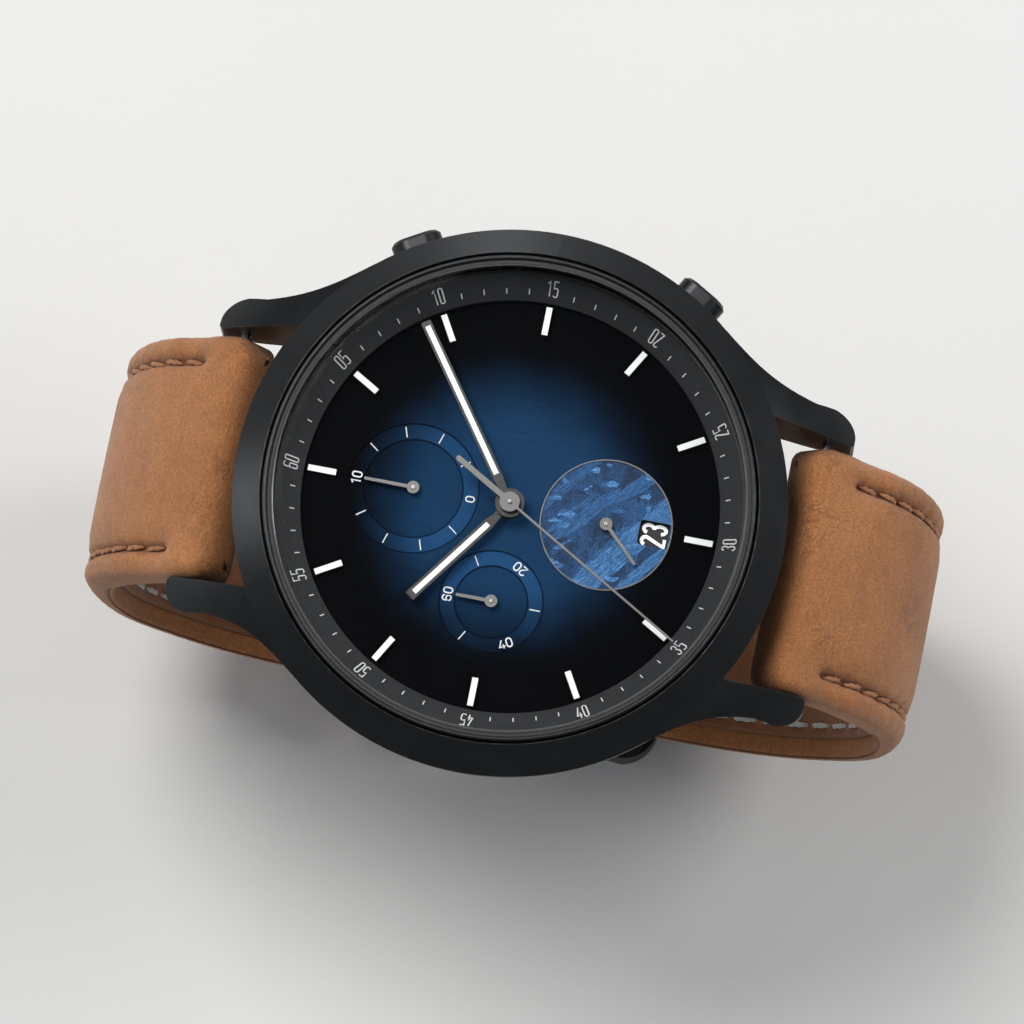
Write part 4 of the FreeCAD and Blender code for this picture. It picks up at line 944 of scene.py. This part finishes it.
for is_long in (False, True):
    rows = Build()
    last = strap_end(is_long) - 2.9
    count = int((last - SEAM_START) / PITCH)
    for i in range(count):
        s = SEAM_START + (i + 0.5) * PITCH
        wide = half_wide(s, is_long)
        if wide < SEAM_IN + 2.2:
            continue
        plump = half_thick(s) / PADDED_HALF
        floor_height = top_height(s, SEAM_IN, wide, is_long)
        for hand in (-1.0, 1.0):
            x = hand * (wide - SEAM_IN + dice.uniform(-0.03, 0.03))
            place, along, out = seam_point(s + dice.uniform(-0.03, 0.03), x, floor_height + 0.06, is_long)
            stitch(rows, place, along, out, PITCH * 0.95, STITCH_R, 1.6, 0.16 + 0.16 * plump,
                   0.12 * hand + dice.uniform(-0.02, 0.02))
    name = "strap_long_stitches" if is_long else "strap_short_stitches"
    rows.piece(name, TAN_THREAD, "watch", "tan_leather")


# ---------------------------------------------------------------- linings
LINING_IN = 1.7  # from the strap's edge to the lining's edge
LINING_START = 3.3
LINING_ROUND = 5.0
LINING_PITCH = 2.75
LINING_END_Y = {False: -1.5, True: 11.5}


def lining_half(s, is_long):
    wide = half_wide(s, is_long) - LINING_IN
    near = min(1.0, (s - LINING_START) / LINING_ROUND)
    return wide * math.sqrt(max(0.0, 1.0 - (1.0 - near) ** 2.4))


def lining_section(s, is_long):
    half = half_thick(s)
    wide = max(0.3, lining_half(s, is_long))
    seat = -half + LINING - 0.01
    face = -half - 0.04
    right = [(0.0, face), (wide * 0.5, face + 0.01), (wide - min(1.6, wide * 0.4), face + 0.02)]
    right += [(wide - min(0.9, wide * 0.25), face + 0.10), (wide - 0.30, face + 0.06)]
    right += [(wide - 0.10, face + 0.16), (wide, face + 0.30), (wide, seat)]
    left = [(-x, h) for x, h in reversed(right[1:])]
    return right + [(0.0, seat)] + left


ROUND_MARKS = (0.01, 0.03, 0.06, 0.1, 0.16, 0.24, 0.34, 0.46, 0.6, 0.78)  # shares of the rounded end
linings = Build()
lining_rows = Build()
for is_long in (False, True):
    end = ROUTE_END + FLAT_Y - LINING_END_Y[is_long]
    starts = [LINING_START + LINING_ROUND * f for f in ROUND_MARKS]
    plain = LINING_START + LINING_ROUND
    count = round((end - plain) / 0.8)
    runs = [plain + (end - plain) * i / count for i in range(count + 1)]
    linings.tube(swept([(s, lining_section(s, is_long)) for s in starts + runs], is_long))
    for i in range(int((end - LINING_START - 2.4) / LINING_PITCH)):
        s = LINING_START + 1.6 + (i + 0.5) * LINING_PITCH
        x = lining_half(s, is_long) - 0.95
        if x < 3.0:
            continue
        for hand in (-1.0, 1.0):
            place, along, out = seam_point(s, hand * x, -half_thick(s) - 0.02, is_long)
            stitch(lining_rows, place, along, -out, LINING_PITCH * 0.78, 0.24, 1.2, 0.12,
                   dice.uniform(-0.03, 0.03))
lining_piece = linings.piece("strap_lining_panels", PAINTS["lining_leather"], "watch", "lining_leather")
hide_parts("strap_linings")
lining_rows.piece("lining_stitches", PALE_THREAD, "watch", "lining_leather")


# ---------------------------------------------------------------- keepers
KEEPER_WIDTH = 4.6
KEEPER_THICK = 1.0


def rounded_loop(middle_z, half_x, half_z, radius):
    """(x, z, outward angle) points round an upright rectangle with rounded corners."""
    corners = []
    for quarter in range(4):
        side_x = (1, -1, -1, 1)[quarter] * (half_x - radius)
        side_z = (1, 1, -1, -1)[quarter] * (half_z - radius)
        for step in range(9):
            a = math.radians(quarter * 90 + step * 11.25)
            corners.append((side_x + radius * math.cos(a), middle_z + side_z + radius * math.sin(a), a))
    path = []
    for here, there in zip(corners, corners[1:] + corners[:1]):
        gap = math.hypot(there[0] - here[0], there[1] - here[1])
        pieces = max(1, round(gap / 0.9))
        for i in range(pieces):
            t = i / pieces
            path.append((here[0] + (there[0] - here[0]) * t, here[1] + (there[1] - here[1]) * t, here[2]))
    return path


def keeper_band(name, node, y, body):
    """A band of folded leather with a pressed line along each edge."""
    top, bottom = LEVEL + THIN_HALF + 0.25, LEVEL - THIN_HALF - 2.75 - 0.25
    path = rounded_loop((top + bottom) / 2, BUCKLE_HALF + 0.3 + KEEPER_THICK / 2,
                        (top - bottom + KEEPER_THICK) / 2, 1.1)
    half = KEEPER_WIDTH / 2
    thick = KEEPER_THICK / 2
    outer = [(half, 0.0), (half - 0.04, thick * 0.6), (half - 0.14, thick - 0.12),
             (half - 0.34, thick - 0.03), (half - 0.55, thick - 0.05), (half - 0.70, thick - 0.13),
             (half - 0.86, thick - 0.05), (half - 1.15, thick), (half * 0.25, thick)]
    inner = [(half - 0.05, -thick * 0.7), (half - 0.25, 0.02 - thick), (half * 0.3, 0.02 - thick)]
    profile = outer + [(-w, n) for w, n in reversed(outer)]
    profile += [(-w, n) for w, n in inner] + list(reversed(inner))
    build = Build()
    build.tube([[(x + math.cos(a) * n, y + w, z + math.sin(a) * n) for w, n in profile] for x, z, a in path],
               closed=True)
    piece = build.piece(name, PAINTS["tan_leather"], body, "tan_leather")
    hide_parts(node)


keeper_band("fixed_keeper_band", "fixed_keeper", 2.6, "watch")
keeper_band("sliding_keeper_band", "sliding_keeper", 11.0, "keeper_body")


# ---------------------------------------------------------------- stage, light and camera
FLOOR_Z = CAD_BOX[0][2] / MM
ground = Build()
ground.add([(-1500, -1500, FLOOR_Z), (1500, -1500, FLOOR_Z), (1500, 1500, FLOOR_Z), (-1500, 1500, FLOOR_Z)],
           [(0, 1, 2, 3)])
ground_mesh = bpy.data.meshes.new("floor")
ground_mesh.from_pydata([tuple(c * MM for c in p) for p in ground.points], [], ground.faces)
ground_mesh.materials.append(floor_paper())
floor = bpy.data.objects.new("floor", ground_mesh)
bpy.context.scene.collection.objects.link(floor)

world = bpy.data.worlds.new("studio")
world.use_nodes = True
backdrop = world.node_tree.nodes["Background"]
backdrop.inputs["Color"].default_value = (0.90, 0.94, 1.0, 1.0)
backdrop.inputs["Strength"].default_value = 0.30
bpy.context.scene.world = world


def soft_light(name, place, target, size, power, colour):
    lamp = bpy.data.lights.new(name, "AREA")
    lamp.shape = "DISK"
    lamp.size = size * MM
    lamp.energy = power
    lamp.color = colour
    made = bpy.data.objects.new(name, lamp)
    start, end = Vector(place) * MM, Vector(target) * MM
    aim = (end - start).to_track_quat("-Z", "Y").to_matrix().to_4x4()
    made.matrix_world = Matrix.Translation(start) @ aim
    bpy.context.scene.collection.objects.link(made)


soft_light("key", (150, 190, 450), (0, 0, 0), 260, 2.15, (1.0, 0.985, 0.96))
soft_light("second", (150, -360, 340), (0, 0, 0), 260, 1.2, (1.0, 0.99, 0.97))
soft_light("left_strip", (-10, 620, 86), (0, 0, 8), 200, 0.55, (0.96, 0.98, 1.0))
soft_light("top_strip", (610, 150, 62), (0, 0, 8), 200, 0.56, (0.96, 0.98, 1.0))

AIM = Vector((0.0, 0.0, 7.9))
RIGHT = Vector((0.19369, -0.98091, -0.01707))
UP = Vector((0.96527, 0.18744, 0.18199))
FORWARD = Vector((0.17532, 0.05172, -0.98315))
STEP_RIGHT, STEP_DOWN, DISTANCE = 0.156, 0.503, 557.0  # from the aim to the camera, in mm
lens = bpy.data.cameras.new("camera")
lens.lens = 250.5
lens.sensor_width = 36.0
lens.clip_start = 0.01
camera = bpy.data.objects.new("camera", lens)
seat = (AIM + STEP_RIGHT * RIGHT - STEP_DOWN * UP - DISTANCE * FORWARD) * MM
turn = Matrix((RIGHT, UP, -FORWARD)).transposed().to_4x4()
camera.matrix_world = Matrix.Translation(seat) @ turn
bpy.context.scene.collection.objects.link(camera)
bpy.context.scene.camera = camera
bpy.context.scene.view_settings.view_transform = "Standard"
